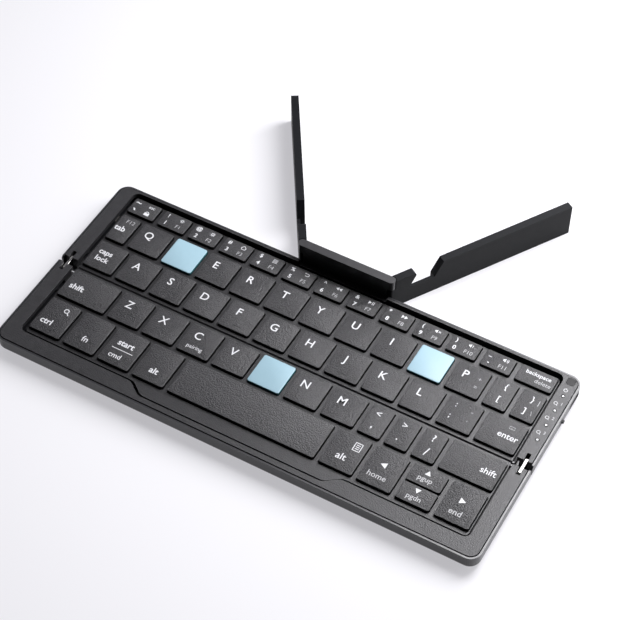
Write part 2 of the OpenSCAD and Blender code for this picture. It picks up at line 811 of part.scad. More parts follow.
module charging_port() {
    color(steel) in_rear() translate([port_x0, port_v, port_z]) rotate([90, 0, 90]) {
        difference() {
            linear_extrude(port_x1 - port_x0) port_plan(0);
            translate([0, 0, port_t]) linear_extrude(port_x1 - port_x0) port_plan(port_t);
        }
        // Tongue of the socket
        translate([-(port_w - 2.3) / 2, -0.35, 0.1]) cube([port_w - 2.3, 0.7, port_x1 - port_x0 - 1]);
    }
}

module port_plan(inset) {
    h = port_h - 2 * inset;
    square([port_w - port_h, h], center = true);
    for (s = [-1, 1]) translate([s * (port_w - port_h) / 2, 0]) circle(h / 2, $fn = 48);
}

module slide_switch() {
    color(steel) in_rear() difference() {
        block([port_x0 + 0.2, switch_v - switch_l / 2, part_z],
              [board_x1, switch_v + switch_l / 2, part_z + switch_h]);
        block([board_x1 - 1.2, knob_v - knob_travel - knob_w / 2 - 0.2, knob_z - knob_t / 2 - knob_play],
              [board_x1 + 1, knob_v + knob_w / 2 + 0.2, knob_z + knob_t / 2 + knob_play]);
    }
}

module slide_switch_knob() {
    color([0.05, 0.05, 0.05]) in_rear() {
        block([board_x1 - 1, knob_v - knob_w / 2, knob_z - knob_t / 2],
              [case_x + knob_out, knob_v + knob_w / 2, knob_z + knob_t / 2]);
    }
}

module button_plan(play) {
    w = button_w + 2 * play;
    r = 1.1;
    square([w - 2 * r, w], center = true);
    square([w, w - 2 * r], center = true);
    for (x = [-1, 1], y = [-1, 1]) translate([x * (w / 2 - r), y * (w / 2 - r)]) circle(r, $fn = 32);
}

module pairing_button() {
    color([0.35, 0.35, 0.36]) in_rear() {
        translate([button_x, button_v, button_z]) linear_extrude(rim_z + 0.05 - button_z) button_plan(0);
        // Flange that keeps the button in the rim
        inside_skirt() translate([button_x, button_v, button_z]) linear_extrude(0.3)
            square([button_w + 0.4, button_w - 0.4], center = true);
    }
}

module light_pipes() {
    color([0.9, 0.92, 0.95]) in_rear() for (i = [0:led_count - 1])
        translate([led_x, led_v + i * led_pitch, strip_top_z + 0.35]) {
            cylinder(h = rim_z + 0.05 - strip_top_z - 0.35, r = led_r, $fn = 24);
            cylinder(h = 0.25, r = led_r + 0.4, $fn = 24);
        }
}

// ---- Front half ----

module front_tray() {
    color(slate) in_front() tray(front_d, front_screws_at);
}

module front_frame() {
    color(slate) in_front() frame(front_frame_v, front_screws_at) {
        front_recess(frame_t, frame_t);
        front_recess(0, 0);
    }
}

module front_key_deck() {
    color(charcoal) in_front() key_deck(front_caps, [row_v2 - row_gap / 2, front_post_v])
        front_recess(-deck_groove, -front_groove);
}

module front_support_plate() {
    color(steel) in_front() sheet(front_plate_v, plate_low_z, plate_t);
}

module front_membrane() {
    color([0.35, 0.42, 0.38]) in_front() sheet(front_plate_v, plate_z, membrane_t);
}

module front_domes() {
    color([0.85, 0.85, 0.82]) in_front() domes(front_caps);
}

module front_scissors() {
    color([0.9, 0.9, 0.9]) in_front() scissors(front_caps);
}

module front_magnets() {
    color(steel) in_front() magnets(skin_z - magnet[2] - 0.1);
}

module front_feet() {
    color([0.1, 0.1, 0.1]) in_front() feet(front_d);
}

module front_screws() {
    color(steel) in_front() screws(front_screws_at);
}

// ---- Fold hinge ----

module hinge_links() {
    color(steel) in_rear() both_sides() difference() {
        translate([link_x - link_t / 2, 0, pin_z]) rotate([90, 0, 90]) linear_extrude(link_t) {
            square([2 * pin_v, 2 * link_r], center = true);
            for (s = [-1, 1]) translate([s * pin_v, 0]) circle(link_r, $fn = 64);
        }
        for (s = [-1, 1]) translate([link_x - link_t, s * pin_v, pin_z]) rotate([0, 90, 0])
            cylinder(h = 2 * link_t, r = pin_r + 0.03, $fn = 48);
    }
}

module hinge_pins() {
    color(steel) in_rear() both_sides()
        for (s = [-1, 1]) translate([pin_x0, s * pin_v, pin_z]) rotate([0, 90, 0])
            cylinder(h = pin_x1 - pin_x0, r = pin_r, $fn = 48);
}

module flex_cable() {
    color([0.75, 0.5, 0.15]) in_rear()
        block([cable_x - cable_w / 2, -cable_reach, cable_z],
              [cable_x + cable_w / 2, board_v0 + cable_on_board, cable_z + cable_t]);
}

// ---- Phone stand ----

module stand_lip() {
    color(slate) in_rear() difference() {
        union() {
            block([-pivot_x, lip_v, 0], [pivot_x, lip_v + lip_t, stand_h]);
            for (s = [-1, 1]) translate([s * pivot_x, pivot_v, 0])
                cylinder(h = stand_h, r = lip_t / 2, $fn = 64);
            // Step that closes the gate up to the deck, and the tab that is screwed to the tray
            block([-pivot_x, rear_frame_v + 0.1, boss_z + seat_gap], [pivot_x, lip_v + 1, deck_z]);
            block([-tab_x, lip_v - tab_reach, boss_z + seat_gap], [tab_x, lip_v, boss_z + tab_t]);
        }
        // Room for the arms' knuckles, and the bores for their pins
        for (s = [-1, 1]) translate([s * pivot_x, pivot_v, 0]) {
            translate([0, 0, knuckle_z[0] - knuckle_gap])
                cylinder(h = knuckle_z[1] - knuckle_z[0] + 2 * knuckle_gap,
                         r = lip_t / 2 + 0.3, $fn = 64);
            translate([0, 0, 1]) cylinder(h = stand_h - 2, r = arm_pin_r + 0.03, $fn = 48);
        }
        for (s = [-1, 1]) translate([s * lip_screw_x, lip_screw_v, 0])
            cylinder(h = boss_z + tab_t + 1, r = screw_r + screw_play, $fn = 24);
    }
}

// An arm in its own frame: pivot at the origin, lying along +X
module arm() {
    slope = tan(notch_lean);
    tip_x = notch_start + notch_top;
    tip_run = hook_r / tan((90 - notch_lean) / 2);
    difference() {
        union() {
            block([arm_root - 1, -arm_t / 2, 0], [arm_len, arm_t / 2, stand_h]);
            translate([0, 0, knuckle_z[0]]) {
                cylinder(h = knuckle_z[1] - knuckle_z[0], r = arm_t / 2, $fn = 64);
                block([0, -arm_t / 2, 0], [arm_root + 1, arm_t / 2, knuckle_z[1] - knuckle_z[0]]);
            }
        }
        // Slanted notch that holds the phone's edge
        translate([0, arm_t, 0]) rotate([90, 0, 0]) linear_extrude(2 * arm_t) polygon([
            [notch_start, notch_z], [notch_start + notch_len, notch_z],
            [notch_start + notch_len + notch_top + slope, stand_h + 1],
            [notch_start + notch_top + slope, stand_h + 1]
        ]);
        // Relief below the notch's floor, behind the ledge
        block([notch_start, ledge_t - arm_t / 2, relief_z],
              [notch_start + notch_len, arm_t, notch_z + relief_cut]);
        // Round tip of the hook
        translate([0, arm_t, 0]) rotate([90, 0, 0]) linear_extrude(2 * arm_t) difference() {
            polygon([
                [tip_x - tip_run, stand_h - hook_r], [tip_x - tip_run, stand_h + 1],
                [tip_x + 1, stand_h + 1], [tip_x + 1, stand_h - tip_run * cos(notch_lean)],
                [tip_x - tip_run * sin(notch_lean), stand_h - tip_run * cos(notch_lean)]
            ]);
            translate([tip_x - tip_run, stand_h - hook_r]) circle(hook_r, $fn = 48);
        }
        // Clear of the lip's round end, above and below the knuckle
        for (z = [-1, knuckle_z[1]]) translate([0, 0, z])
            cylinder(h = knuckle_z[0] + 1, r = arm_root, $fn = 64);
        translate([0, 0, -1]) cylinder(h = stand_h + 2, r = arm_pin_r + pin_clear, $fn = 48);
    }
}

module stand_arm_right() {
    color(slate) in_rear() translate([pivot_x, pivot_v, 0]) rotate([0, 0, 90 - arm_angle]) arm();
}

module stand_arm_left() {
    color(slate) in_rear() mirror([1, 0, 0])
        translate([pivot_x, pivot_v, 0]) rotate([0, 0, 90 - arm_angle]) arm();
}

module stand_pins() {
    color(steel) in_rear() for (s = [-1, 1]) translate([s * pivot_x, pivot_v, 1.1])
        cylinder(h = stand_h - 2.2, r = arm_pin_r, $fn = 48);
}

// ---- Keys ----

module escape_key() { color(cap_grey) in_rear() keycaps(escape_caps); }
module number_keys() { color(cap_grey) in_rear() keycaps(number_caps); }
module backspace_key() { color(cap_grey) in_rear() keycaps(backspace_caps); }
module tab_key() { color(cap_grey) in_rear() keycaps(tab_caps); }
module accent_key_w() { color(accent) in_rear() keycaps(accent_w_caps); }
module accent_key_o() { color(accent) in_rear() keycaps(accent_o_caps); }
module upper_letter_keys() { color(cap_grey) in_rear() keycaps(upper_caps); }
module caps_lock_key() { color(cap_grey) in_rear() keycaps(caps_lock_caps); }
module home_letter_keys() { color(cap_grey) in_rear() keycaps(home_caps); }
module enter_key() { color(cap_grey) in_rear() keycaps(enter_caps); }
module left_shift_key() { color(cap_grey) in_front() keycaps(left_shift_caps); }
module accent_key_b() { color(accent) in_front() keycaps(accent_b_caps); }
module lower_letter_keys() { color(cap_grey) in_front() keycaps(lower_caps); }
module right_shift_key() { color(cap_grey) in_front() keycaps(right_shift_caps); }
module ctrl_key() { color(cap_grey) in_front() keycap(bottom_left(0)); }
module fn_key() { color(cap_grey) in_front() keycap(bottom_left(1)); }
module start_key() { color(cap_grey) in_front() keycap(bottom_left(2)); }
module left_alt_key() { color(cap_grey) in_front() keycap(bottom_left(3)); }
module space_bar() { color(cap_grey) in_front() keycaps(space_caps); }
module right_alt_key() { color(cap_grey) in_front() keycap(bottom_right(3)); }
module arrow_left_key() { color(cap_grey) in_front() keycap(bottom_right(2)); }
module arrow_up_key() { color(cap_grey) in_front() keycaps(arrow_up_caps); }
module arrow_down_key() { color(cap_grey) in_front() keycaps(arrow_down_caps); }
module arrow_right_key() { color(cap_grey) in_front() keycap(bottom_right(0)); }

rear_tray();
rear_frame();
rear_key_deck();
rear_support_plate();
rear_membrane();
rear_domes();
rear_scissors();
rear_magnets();
rear_feet();
rear_screws();
main_board();
board_components();
indicator_board();
battery();
charging_port();
slide_switch();
slide_switch_knob();
pairing_button();
light_pipes();
front_tray();
front_frame();
front_key_deck();
front_support_plate();
front_membrane();
front_domes();
front_scissors();
front_magnets();
front_feet();
front_screws();
hinge_links();
hinge_pins();
flex_cable();
stand_lip();
stand_arm_left();
stand_arm_right();
stand_pins();
escape_key();
number_keys();
backspace_key();
tab_key();
accent_key_w();
accent_key_o();
upper_letter_keys();
caps_lock_key();
home_letter_keys();
enter_key();
left_shift_key();
accent_key_b();
lower_letter_keys();
right_shift_key();
ctrl_key();
fn_key();
start_key();
left_alt_key();
space_bar();
right_alt_key();
arrow_left_key();
arrow_up_key();
arrow_down_key();
arrow_right_key();
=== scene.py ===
"""Folding keyboard: the finishes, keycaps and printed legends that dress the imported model.

The file goes through the keyboard as it is put together. Lengths are metres, and MM turns a
drawing's millimetres into them.
"""

import json
import math

import bmesh
import bpy
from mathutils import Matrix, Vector


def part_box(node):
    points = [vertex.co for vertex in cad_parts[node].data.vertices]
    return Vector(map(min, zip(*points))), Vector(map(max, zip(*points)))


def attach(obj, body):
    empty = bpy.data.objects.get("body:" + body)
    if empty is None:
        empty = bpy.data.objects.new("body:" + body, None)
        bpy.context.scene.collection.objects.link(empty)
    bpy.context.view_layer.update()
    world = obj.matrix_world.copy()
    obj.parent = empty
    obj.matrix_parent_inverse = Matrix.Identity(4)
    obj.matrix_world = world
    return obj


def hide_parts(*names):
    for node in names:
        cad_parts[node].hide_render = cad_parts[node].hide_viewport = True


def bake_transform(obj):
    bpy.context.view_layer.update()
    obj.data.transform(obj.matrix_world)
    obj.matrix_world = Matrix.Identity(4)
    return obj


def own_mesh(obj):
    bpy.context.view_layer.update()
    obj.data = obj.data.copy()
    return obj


MM = 0.001
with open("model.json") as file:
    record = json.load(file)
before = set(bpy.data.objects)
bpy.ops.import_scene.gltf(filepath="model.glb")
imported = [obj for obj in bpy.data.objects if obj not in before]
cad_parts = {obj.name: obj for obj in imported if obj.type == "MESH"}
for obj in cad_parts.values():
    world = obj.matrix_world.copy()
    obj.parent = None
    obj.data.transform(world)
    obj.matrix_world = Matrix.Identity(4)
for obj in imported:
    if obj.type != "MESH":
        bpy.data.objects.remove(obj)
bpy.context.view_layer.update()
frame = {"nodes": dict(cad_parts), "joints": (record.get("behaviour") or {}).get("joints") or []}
nodes = frame["nodes"]
for imported in list(bpy.data.materials):
    bpy.data.materials.remove(imported)

# -------------------------------------------------------------------------------------------------
# Place of the fold
# The two hinge pins lie at equal distances before and behind the fold line, so the line is
# midway between them. The heights are those of the rear rim and of the caps.
# -------------------------------------------------------------------------------------------------
joints = {joint["name"]: joint for joint in frame["joints"]}
pin_rear = Vector(joints["rear_fold"]["pos_m"])
pin_front = Vector(joints["front_fold"]["pos_m"])
fold_y = (pin_rear.y + pin_front.y) / 2
rim_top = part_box("rear_frame")[1].z
cap_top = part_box("space_bar")[1].z

# -------------------------------------------------------------------------------------------------
# Table, light and camera
# A white table top in a bright room. A strip light close behind the right side gives the slope of
# light across the keys, a broad panel stands behind the left side, and two low ones draw the edges.
# -------------------------------------------------------------------------------------------------
CAMERA_TARGET = Vector((-4.05 * MM, fold_y + 27.4 * MM, cap_top))
CAMERA_AZIMUTH = math.radians(29.49)
CAMERA_ELEVATION = math.radians(50.56)
CAMERA_DISTANCE = 774.1 * MM
CAMERA_LENS = 107.2
CLIP_START = 0.01
CLIP_END = 20.0
ROOM_LIGHT = 0.03
TABLE_GLOW = 0.50
TABLE_SIZE = 6.0
NEAR_WHITE = (0.98, 0.97, 1.0)
COOL_WHITE = (0.94, 0.92, 1.0)


def from_target(azimuth, elevation, distance):
    """A point seen from the target at an azimuth (0 is before the keyboard) and an elevation."""
    flat = math.cos(elevation)
    away = Vector((math.sin(azimuth) * flat, -math.cos(azimuth) * flat, math.sin(elevation)))
    return CAMERA_TARGET + away * distance


camera = bpy.data.objects.new("camera", bpy.data.cameras.new("camera"))
camera.data.lens = CAMERA_LENS
camera.data.clip_start, camera.data.clip_end = CLIP_START, CLIP_END
camera.location = from_target(CAMERA_AZIMUTH, CAMERA_ELEVATION, CAMERA_DISTANCE)
camera.rotation_euler = (CAMERA_TARGET - camera.location).to_track_quat("-Z", "Y").to_euler()
bpy.context.scene.collection.objects.link(camera)
bpy.context.scene.camera = camera


def panel_light(name, azimuth, elevation, distance, width, height, power, color):
    """A soft light panel that faces the keyboard. The two angles are in degrees."""
    light = bpy.data.lights.new(name, "AREA")
    light.shape, light.size, light.size_y, light.energy = "RECTANGLE", width, height, power
    light.color = color
    lamp = bpy.data.objects.new(name, light)
    lamp.location = from_target(math.radians(azimuth), math.radians(elevation), distance)
    lamp.rotation_euler = (CAMERA_TARGET - lamp.location).to_track_quat("-Z", "Y").to_euler()
    bpy.context.scene.collection.objects.link(lamp)


panel_light("light_strip", 150, 50, 0.42, 0.24, 0.38, 4.6, NEAR_WHITE)
panel_light("light_wall", 215, 46, 1.6, 2.2, 1.2, 3.4, COOL_WHITE)
panel_light("light_left", 235, 17, 1.8, 1.6, 0.5, 6.5, COOL_WHITE)
panel_light("light_right", 126, 19, 1.8, 1.2, 0.5, 14.0, NEAR_WHITE)

room = bpy.data.worlds.new("room")
room.use_nodes = True
room.node_tree.nodes["Background"].inputs["Color"].default_value = (0.97, 0.98, 1.0, 1)
room.node_tree.nodes["Background"].inputs["Strength"].default_value = ROOM_LIGHT
bpy.context.scene.world = room
bpy.context.scene.view_settings.view_transform = "Standard"

table_mesh = bpy.data.meshes.new("table")
half_table = TABLE_SIZE / 2
table_mesh.from_pydata(
    [(x * half_table, y * half_table, 0) for x, y in ((-1, -1), (1, -1), (1, 1), (-1, 1))],
    [],
    [(0, 1, 2, 3)],
)
table = bpy.data.objects.new("table", table_mesh)
bpy.context.scene.collection.objects.link(table)


def new_material(name, color, roughness, metallic=0.0, specular=0.5):
    """A material whose Principled BSDF has its plain values."""
    material = bpy.data.materials.new(name)
    material.use_nodes = True
    shader = material.node_tree.nodes["Principled BSDF"]
    shader.inputs["Base Color"].default_value = (*color, 1)
    shader.inputs["Roughness"].default_value = roughness
    shader.inputs["Metallic"].default_value = metallic
    shader.inputs["Specular IOR Level"].default_value = specular
    return material


table_white = new_material("table_white", (0.34, 0.342, 0.345), 0.6, specular=0.2)
table_shader = table_white.node_tree.nodes["Principled BSDF"]
table_shader.inputs["Emission Color"].default_value = (0.96, 0.95, 1.0, 1)
table_shader.inputs["Emission Strength"].default_value = TABLE_GLOW
table_mesh.materials.append(table_white)

# -------------------------------------------------------------------------------------------------
# Case trays
# The lower shell of each half, injection moulded in black plastic with a fine satin grain. The
# grain is one shader group that the other moulded pieces use as well, each at its own scale.
# -------------------------------------------------------------------------------------------------
GRAIN_DETAIL = 3.0
GRAIN_SHARPNESS = 0.65
MOTTLE_SCALE = 420.0
MOTTLE_DETAIL = 4.0
GRAIN_GLOSS = 0.12
WELD_REACH = 0.002 * MM
FLAT_ANGLE = math.radians(0.5)
EDGE_ANGLE = math.radians(40)


def new_tree(kind, name, inputs, outputs):
    """A node group with its sockets. Returns the group, what it is given and what it gives."""
    tree = bpy.data.node_groups.new(name, kind)
    for label, (socket_kind, value) in inputs.items():
        socket = tree.interface.new_socket(
            label, in_out="INPUT", socket_type="NodeSocket" + socket_kind
        )
        if value is not None:
            socket.default_value = value
    for label, socket_kind in outputs.items():
        tree.interface.new_socket(label, in_out="OUTPUT", socket_type="NodeSocket" + socket_kind)
    given, result = tree.nodes.new("NodeGroupInput"), tree.nodes.new("NodeGroupOutput")
    return tree, given.outputs, result.inputs


def add(tree, kind, inputs=None, **settings):
    """Adds a node. Each input is a plain value or another node's output. Returns the outputs."""
    node = tree.nodes.new(kind)
    for name, value in settings.items():
        setattr(node, name, value)
    for name, value in (inputs or {}).items():
        if isinstance(value, bpy.types.NodeSocket):
            tree.links.new(value, node.inputs[name])
        else:
            node.inputs[name].default_value = value
    return node.outputs


def compute(tree, operation, *values):
    """The result of a Math node on plain values and other nodes' outputs."""
    return add(tree, "ShaderNodeMath", dict(enumerate(values)), operation=operation)[0]


def object_place(tree):
    return add(tree, "ShaderNodeTexCoord")["Object"]


def vary(group, given, result, pattern, gloss_swing):
    """Varies a group's colour and roughness with a pattern whose middle is zero."""
    share = compute(group, "MULTIPLY_ADD", pattern, given["Variation"], 1.0)
    tint = add(
        group, "ShaderNodeVectorMath", {0: given["Color"], "Scale": share}, operation="SCALE"
    )
    gloss = compute(group, "MULTIPLY_ADD", pattern, gloss_swing, given["Roughness"])
    group.links.new(tint["Vector"], result["Color"])
    group.links.new(gloss, result["Roughness"])


def build_moulded_grain():
    """Fine moulded grain over slow mottling: a colour, a roughness and a height."""
    group, given, result = new_tree(
        "ShaderNodeTree", "moulded_grain",
        {
            "Color": ("Color", (0.02, 0.02, 0.02, 1)), "Variation": ("Float", 0.2),
            "Roughness": ("Float", 0.45), "Grain Scale": ("Float", 5000.0),
        },
        {"Color": "Color", "Roughness": "Float", "Height": "Float"},
    )
    place = object_place(group)
    grain = add(group, "ShaderNodeTexNoise", {
        "Vector": place, "Scale": given["Grain Scale"], "Detail": GRAIN_DETAIL,
        "Roughness": GRAIN_SHARPNESS,
    })["Fac"]
    mottle = add(group, "ShaderNodeTexNoise", {
        "Vector": place, "Scale": MOTTLE_SCALE, "Detail": MOTTLE_DETAIL,
    })["Fac"]
    both = compute(group, "SUBTRACT", compute(group, "ADD", grain, mottle), 1.0)
    vary(group, given, result, both, GRAIN_GLOSS)
    group.links.new(grain, result["Height"])
    return group


moulded_grain = build_moulded_grain()


def finish_with(material, group, depth, values):
    """Gives a material a group's colour, roughness and height. The depth is in millimetres."""
    tree = material.node_tree
    shader = tree.nodes["Principled BSDF"]
    look = add(tree, "ShaderNodeGroup", values, node_tree=group)
    bump = add(tree, "ShaderNodeBump", {
        "Strength": 1.0, "Distance": depth * MM, "Height": look["Height"],
    })
    tree.links.new(look["Color"], shader.inputs["Base Color"])
    tree.links.new(look["Roughness"], shader.inputs["Roughness"])
    tree.links.new(bump["Normal"], shader.inputs["Normal"])
    return material


def moulded_plastic(
    name, color, roughness, variation=0.25, grain=5200.0, depth=0.012, specular=0.5
):
    """A plastic with moulded grain. The depth is in millimetres."""
    material = new_material(name, color, roughness, specular=specular)
    return finish_with(material, moulded_grain, depth, {
        "Color": (*color, 1), "Variation": variation, "Roughness": roughness,
        "Grain Scale": grain,
    })


def dress(name, material, edge=0.12, segments=2):
    """Gives a CAD node its finish, and a small round on its sharp edges, in millimetres."""
    piece = nodes[name]
    piece.data.materials.clear()
    piece.data.materials.append(material)
    piece.modifiers.new("weld", "WELD").merge_threshold = WELD_REACH
    if edge:
        flat = piece.modifiers.new("flat", "DECIMATE")
        flat.decimate_type, flat.angle_limit = "DISSOLVE", FLAT_ANGLE
        rounding = piece.modifiers.new("edges", "BEVEL")
        rounding.width, rounding.segments = edge * MM, segments
        rounding.limit_method, rounding.angle_limit = "ANGLE", EDGE_ANGLE
    piece.data.shade_smooth()
    piece.modifiers.new("normals", "WEIGHTED_NORMAL").keep_sharp = True


tray_plastic = moulded_plastic(
    "tray_plastic", (0.010, 0.0105, 0.012), 0.33, depth=0.006, specular=0.75
)
for tray in ("rear_tray", "front_tray"):
    dress(tray, tray_plastic, edge=0.15)

# -------------------------------------------------------------------------------------------------
# Rim frames and key decks
# Each rim lies in its tray with a fine groove round it, and the key deck stands inside it on
# posts. Both are a satin plastic like the trays', moulded with a coarser grain.
# -------------------------------------------------------------------------------------------------
rim_plastic = moulded_plastic("rim_plastic", (0.0125, 0.0125, 0.0135), 0.40, 1.0, 1900.0, 0.14)
deck_plastic = moulded_plastic("deck_plastic", (0.0135, 0.0135, 0.0145), 0.36, 0.9, 2300.0, 0.12)
for half in ("rear", "front"):
    dress(half + "_frame", rim_plastic, edge=0.22, segments=3)
    dress(half + "_key_deck", deck_plastic, edge=0.2, segments=3)

# -------------------------------------------------------------------------------------------------
# Fold hinge
# Two steel link plates, one at each side, turn on steel pins in both half cases. The plates are
# stamped and brushed along their length, and the pins are turned and polished.
# -------------------------------------------------------------------------------------------------
SCRATCH_SCALE = 900.0
SCRATCH_DETAIL = 4.0
SCRATCH_GLOSS = 0.25


def build_brushed_metal():
    """Fine scratches drawn out along one axis: a colour, a roughness and a height."""
    group, given, result = new_tree(
        "ShaderNodeTree", "brushed_metal",
        {
            "Color": ("Color", (0.6, 0.6, 0.6, 1)), "Roughness": ("Float", 0.3),
            "Variation": ("Float", 0.15), "Stretch": ("Vector", (1.0, 1.0, 1.0)),
        },
        {"Color": "Color", "Roughness": "Float", "Height": "Float"},
    )
    drawn = add(
        group, "ShaderNodeVectorMath", {0: object_place(group), 1: given["Stretch"]},
        operation="MULTIPLY",
    )
    scratch = add(group, "ShaderNodeTexNoise", {
        "Vector": drawn["Vector"], "Scale": SCRATCH_SCALE, "Detail": SCRATCH_DETAIL,
    })["Fac"]
    vary(group, given, result, compute(group, "SUBTRACT", scratch, 0.5), SCRATCH_GLOSS)
    group.links.new(scratch, result["Height"])
    return group


brushed_metal = build_brushed_metal()


def metal(name, color, roughness, stretch=(1.0, 1.0, 1.0), variation=0.3, depth=0.003):
    """A metal with fine scratches, drawn out where the stretch is small."""
    material = new_material(name, color, roughness, metallic=1.0)
    return finish_with(material, brushed_metal, depth, {
        "Color": (*color, 1), "Roughness": roughness, "Variation": variation, "Stretch": stretch,
    })


link_steel = metal("link_steel", (0.30, 0.295, 0.285), 0.20, stretch=(8.0, 0.6, 8.0))
pin_steel = metal("pin_steel", (0.60, 0.59, 0.58), 0.18, stretch=(6.0, 1.0, 1.0))
dress("hinge_links", link_steel, edge=0.52, segments=5)
dress("hinge_pins", pin_steel, edge=0.08)

# -------------------------------------------------------------------------------------------------
# Phone stand
# The lip and both arms are moulded in black plastic. Each arm turns on an upright steel pin in the
# lip, and holds the phone in its slanted notch.
# -------------------------------------------------------------------------------------------------
lip_plastic = moulded_plastic(
    "lip_plastic", (0.010, 0.010, 0.011), 0.38, 0.35, 3600.0, 0.012, specular=0.7
)
# The arms' plastic is darker and less reflective than the lip's: painted shade for the phone's
# shadow on the arms.
arm_plastic_shaded = moulded_plastic(
    "arm_plastic_shaded", (0.005, 0.0055, 0.0065), 0.46, 0.35, 2000.0, 0.03, specular=0.12
)
dress("stand_lip", lip_plastic, edge=0.35, segments=3)
for side in ("left", "right"):
    dress("stand_arm_" + side, arm_plastic_shaded, edge=0.35, segments=3)
dress("stand_pins", pin_steel, edge=0.08)

# -------------------------------------------------------------------------------------------------
# Charging port and slide switch
# A drawn steel socket with its inside painted black as shade, and a tinned steel switch can with a
# black nylon knob. Both are soldered to the main board, and show in the right side wall.
# -------------------------------------------------------------------------------------------------
PORT_SHELL = 0.15 * MM
port_low, port_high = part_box("charging_port")
port_middle = (Vector(port_low) + Vector(port_high)) / 2
port_inside = (Vector(port_high) - Vector(port_low)) / 2 - Vector((0, PORT_SHELL, PORT_SHELL))


def near(material, axis, middle, reach):
    """A mask that is one where the place along an axis is within reach of the middle."""
    tree = material.node_tree
    along = add(tree, "ShaderNodeSeparateXYZ", {0: object_place(tree)})[axis]
    distance = compute(tree, "ABSOLUTE", compute(tree, "SUBTRACT", along, middle))
    return compute(tree, "LESS_THAN", distance, reach)


def paint(material, mask, color, roughness, metallic):
    """Lays a second finish over a material where the mask is one. Plain values stay plain."""
    tree = material.node_tree
    shader = tree.nodes["Principled BSDF"]
    for name, kind, value in (
        ("Base Color", "RGBA", (*color, 1)), ("Roughness", "FLOAT", roughness),
        ("Metallic", "FLOAT", metallic),
    ):
        socket = shader.inputs[name]
        if not socket.is_linked and socket.default_value == value:
            continue
        first = socket.links[0].from_socket if socket.is_linked else socket.default_value
        mix = add(
            tree, "ShaderNodeMix", {"Factor": mask, "A": first, "B": value}, data_type=kind
        )
        tree.links.new(mix["Result"], socket)


socket_steel = metal("socket_steel", (0.22, 0.22, 0.23), 0.34, stretch=(0.8, 5.0, 5.0))
# The socket's inner faces are painted near black: painted shade for the dark hollow of the port.
painted_shade_inside = compute(
    socket_steel.node_tree, "MULTIPLY",
    near(socket_steel, "Y", port_middle.y, port_inside.y),
    near(socket_steel, "Z", port_middle.z, port_inside.z),
)
paint(socket_steel, painted_shade_inside, (0.004, 0.004, 0.004), 0.6, 0.0)
dress("charging_port", socket_steel, edge=0.06)

tinned_steel = metal("tinned_steel", (0.16, 0.16, 0.165), 0.42, stretch=(2.0, 0.8, 2.0))
knob_nylon = moulded_plastic(
    "knob_nylon", (0.005, 0.005, 0.005), 0.5, 0.2, 5200.0, 0.006, specular=0.35
)
dress("slide_switch", tinned_steel, edge=0.06)
dress("slide_switch_knob", knob_nylon, edge=0.12)

# -------------------------------------------------------------------------------------------------
# Pairing button and indicators
# A satin black button at the rear right corner, and four clear light pipes in the rim, which are
# given a faint painted glow. A black ring round each pipe is painted shade for the hole it sits in.
# -------------------------------------------------------------------------------------------------
SHADE_RING_RADIUS = 0.68 * MM
SHADE_RING_THICKNESS = 0.16 * MM
SHADE_RING_STEPS = 32
SHADE_RING_SECTION_STEPS = 8
PIPE_PAINTED_GLOW = 0.22
MERGE_REACH = 0.001 * MM
SORT_DIGITS = 4
button_plastic = moulded_plastic(
    "button_plastic", (0.006, 0.006, 0.0065), 0.5, 0.4, 1800.0, 0.03, specular=0.25
)
clear_pipe = moulded_plastic("clear_pipe", (0.90, 0.91, 0.93), 0.2, 0.05, 5200.0, 0.002)
# The pipes give off a faint glow: painted light that makes the clear plastic read white.
pipe_shader = clear_pipe.node_tree.nodes["Principled BSDF"]
pipe_shader.inputs["Emission Color"].default_value = (1.0, 1.0, 1.0, 1)
pipe_shader.inputs["Emission Strength"].default_value = PIPE_PAINTED_GLOW
dress("pairing_button", button_plastic, edge=0.25, segments=3)
dress("light_pipes", clear_pipe, edge=0.1)


def solid_boxes(name):
    """The lowest and highest corner of each solid in a CAD node, from left to right."""
    copy = bmesh.new()
    copy.from_mesh(nodes[name].data)
    bmesh.ops.remove_doubles(copy, verts=copy.verts, dist=MERGE_REACH)
    found, seen = [], set()
    for start in copy.verts:
        if start in seen:
            continue
        island, front = [], [start]
        seen.add(start)
        while front:
            corner = front.pop()
            island.append(corner.co)
            for edge in corner.link_edges:
                other = edge.other_vert(corner)
                if other not in seen:
                    seen.add(other)
                    front.append(other)
        low = Vector(min(point[i] for point in island) for i in range(3))
        high = Vector(max(point[i] for point in island) for i in range(3))
        found.append((low, high))
    copy.free()
    return sorted(found, key=lambda box: (round(box[0].x, SORT_DIGITS), box[0].y))


def settle(piece, name):
    """Replaces a piece by the plain mesh that its modifiers make."""
    depsgraph = bpy.context.evaluated_depsgraph_get()
    mesh = bpy.data.meshes.new_from_object(piece.evaluated_get(depsgraph))
    mesh.name = name
    settled = bpy.data.objects.new(name, mesh)
    bpy.context.scene.collection.objects.link(settled)
    bpy.data.objects.remove(piece)
    return settled


def plan_object(name, corners, faces):
    """An object of plain corners and faces, for Geometry Nodes to build on."""
    mesh = bpy.data.meshes.new(name)
    mesh.from_pydata(corners, [], faces)
    plan = bpy.data.objects.new(name, mesh)
    bpy.context.scene.collection.objects.link(plan)
    return plan


def build_on(plan, tree, values):
    """Builds on a plan with a Geometry Nodes tree, whose inputs are set by their identifiers."""
    shape = plan.modifiers.new("shape", "NODES")
    shape.node_group = tree
    for item in tree.interface.items_tree:
        if item.in_out == "INPUT" and item.name in values:
            shape[item.identifier] = values[item.name]


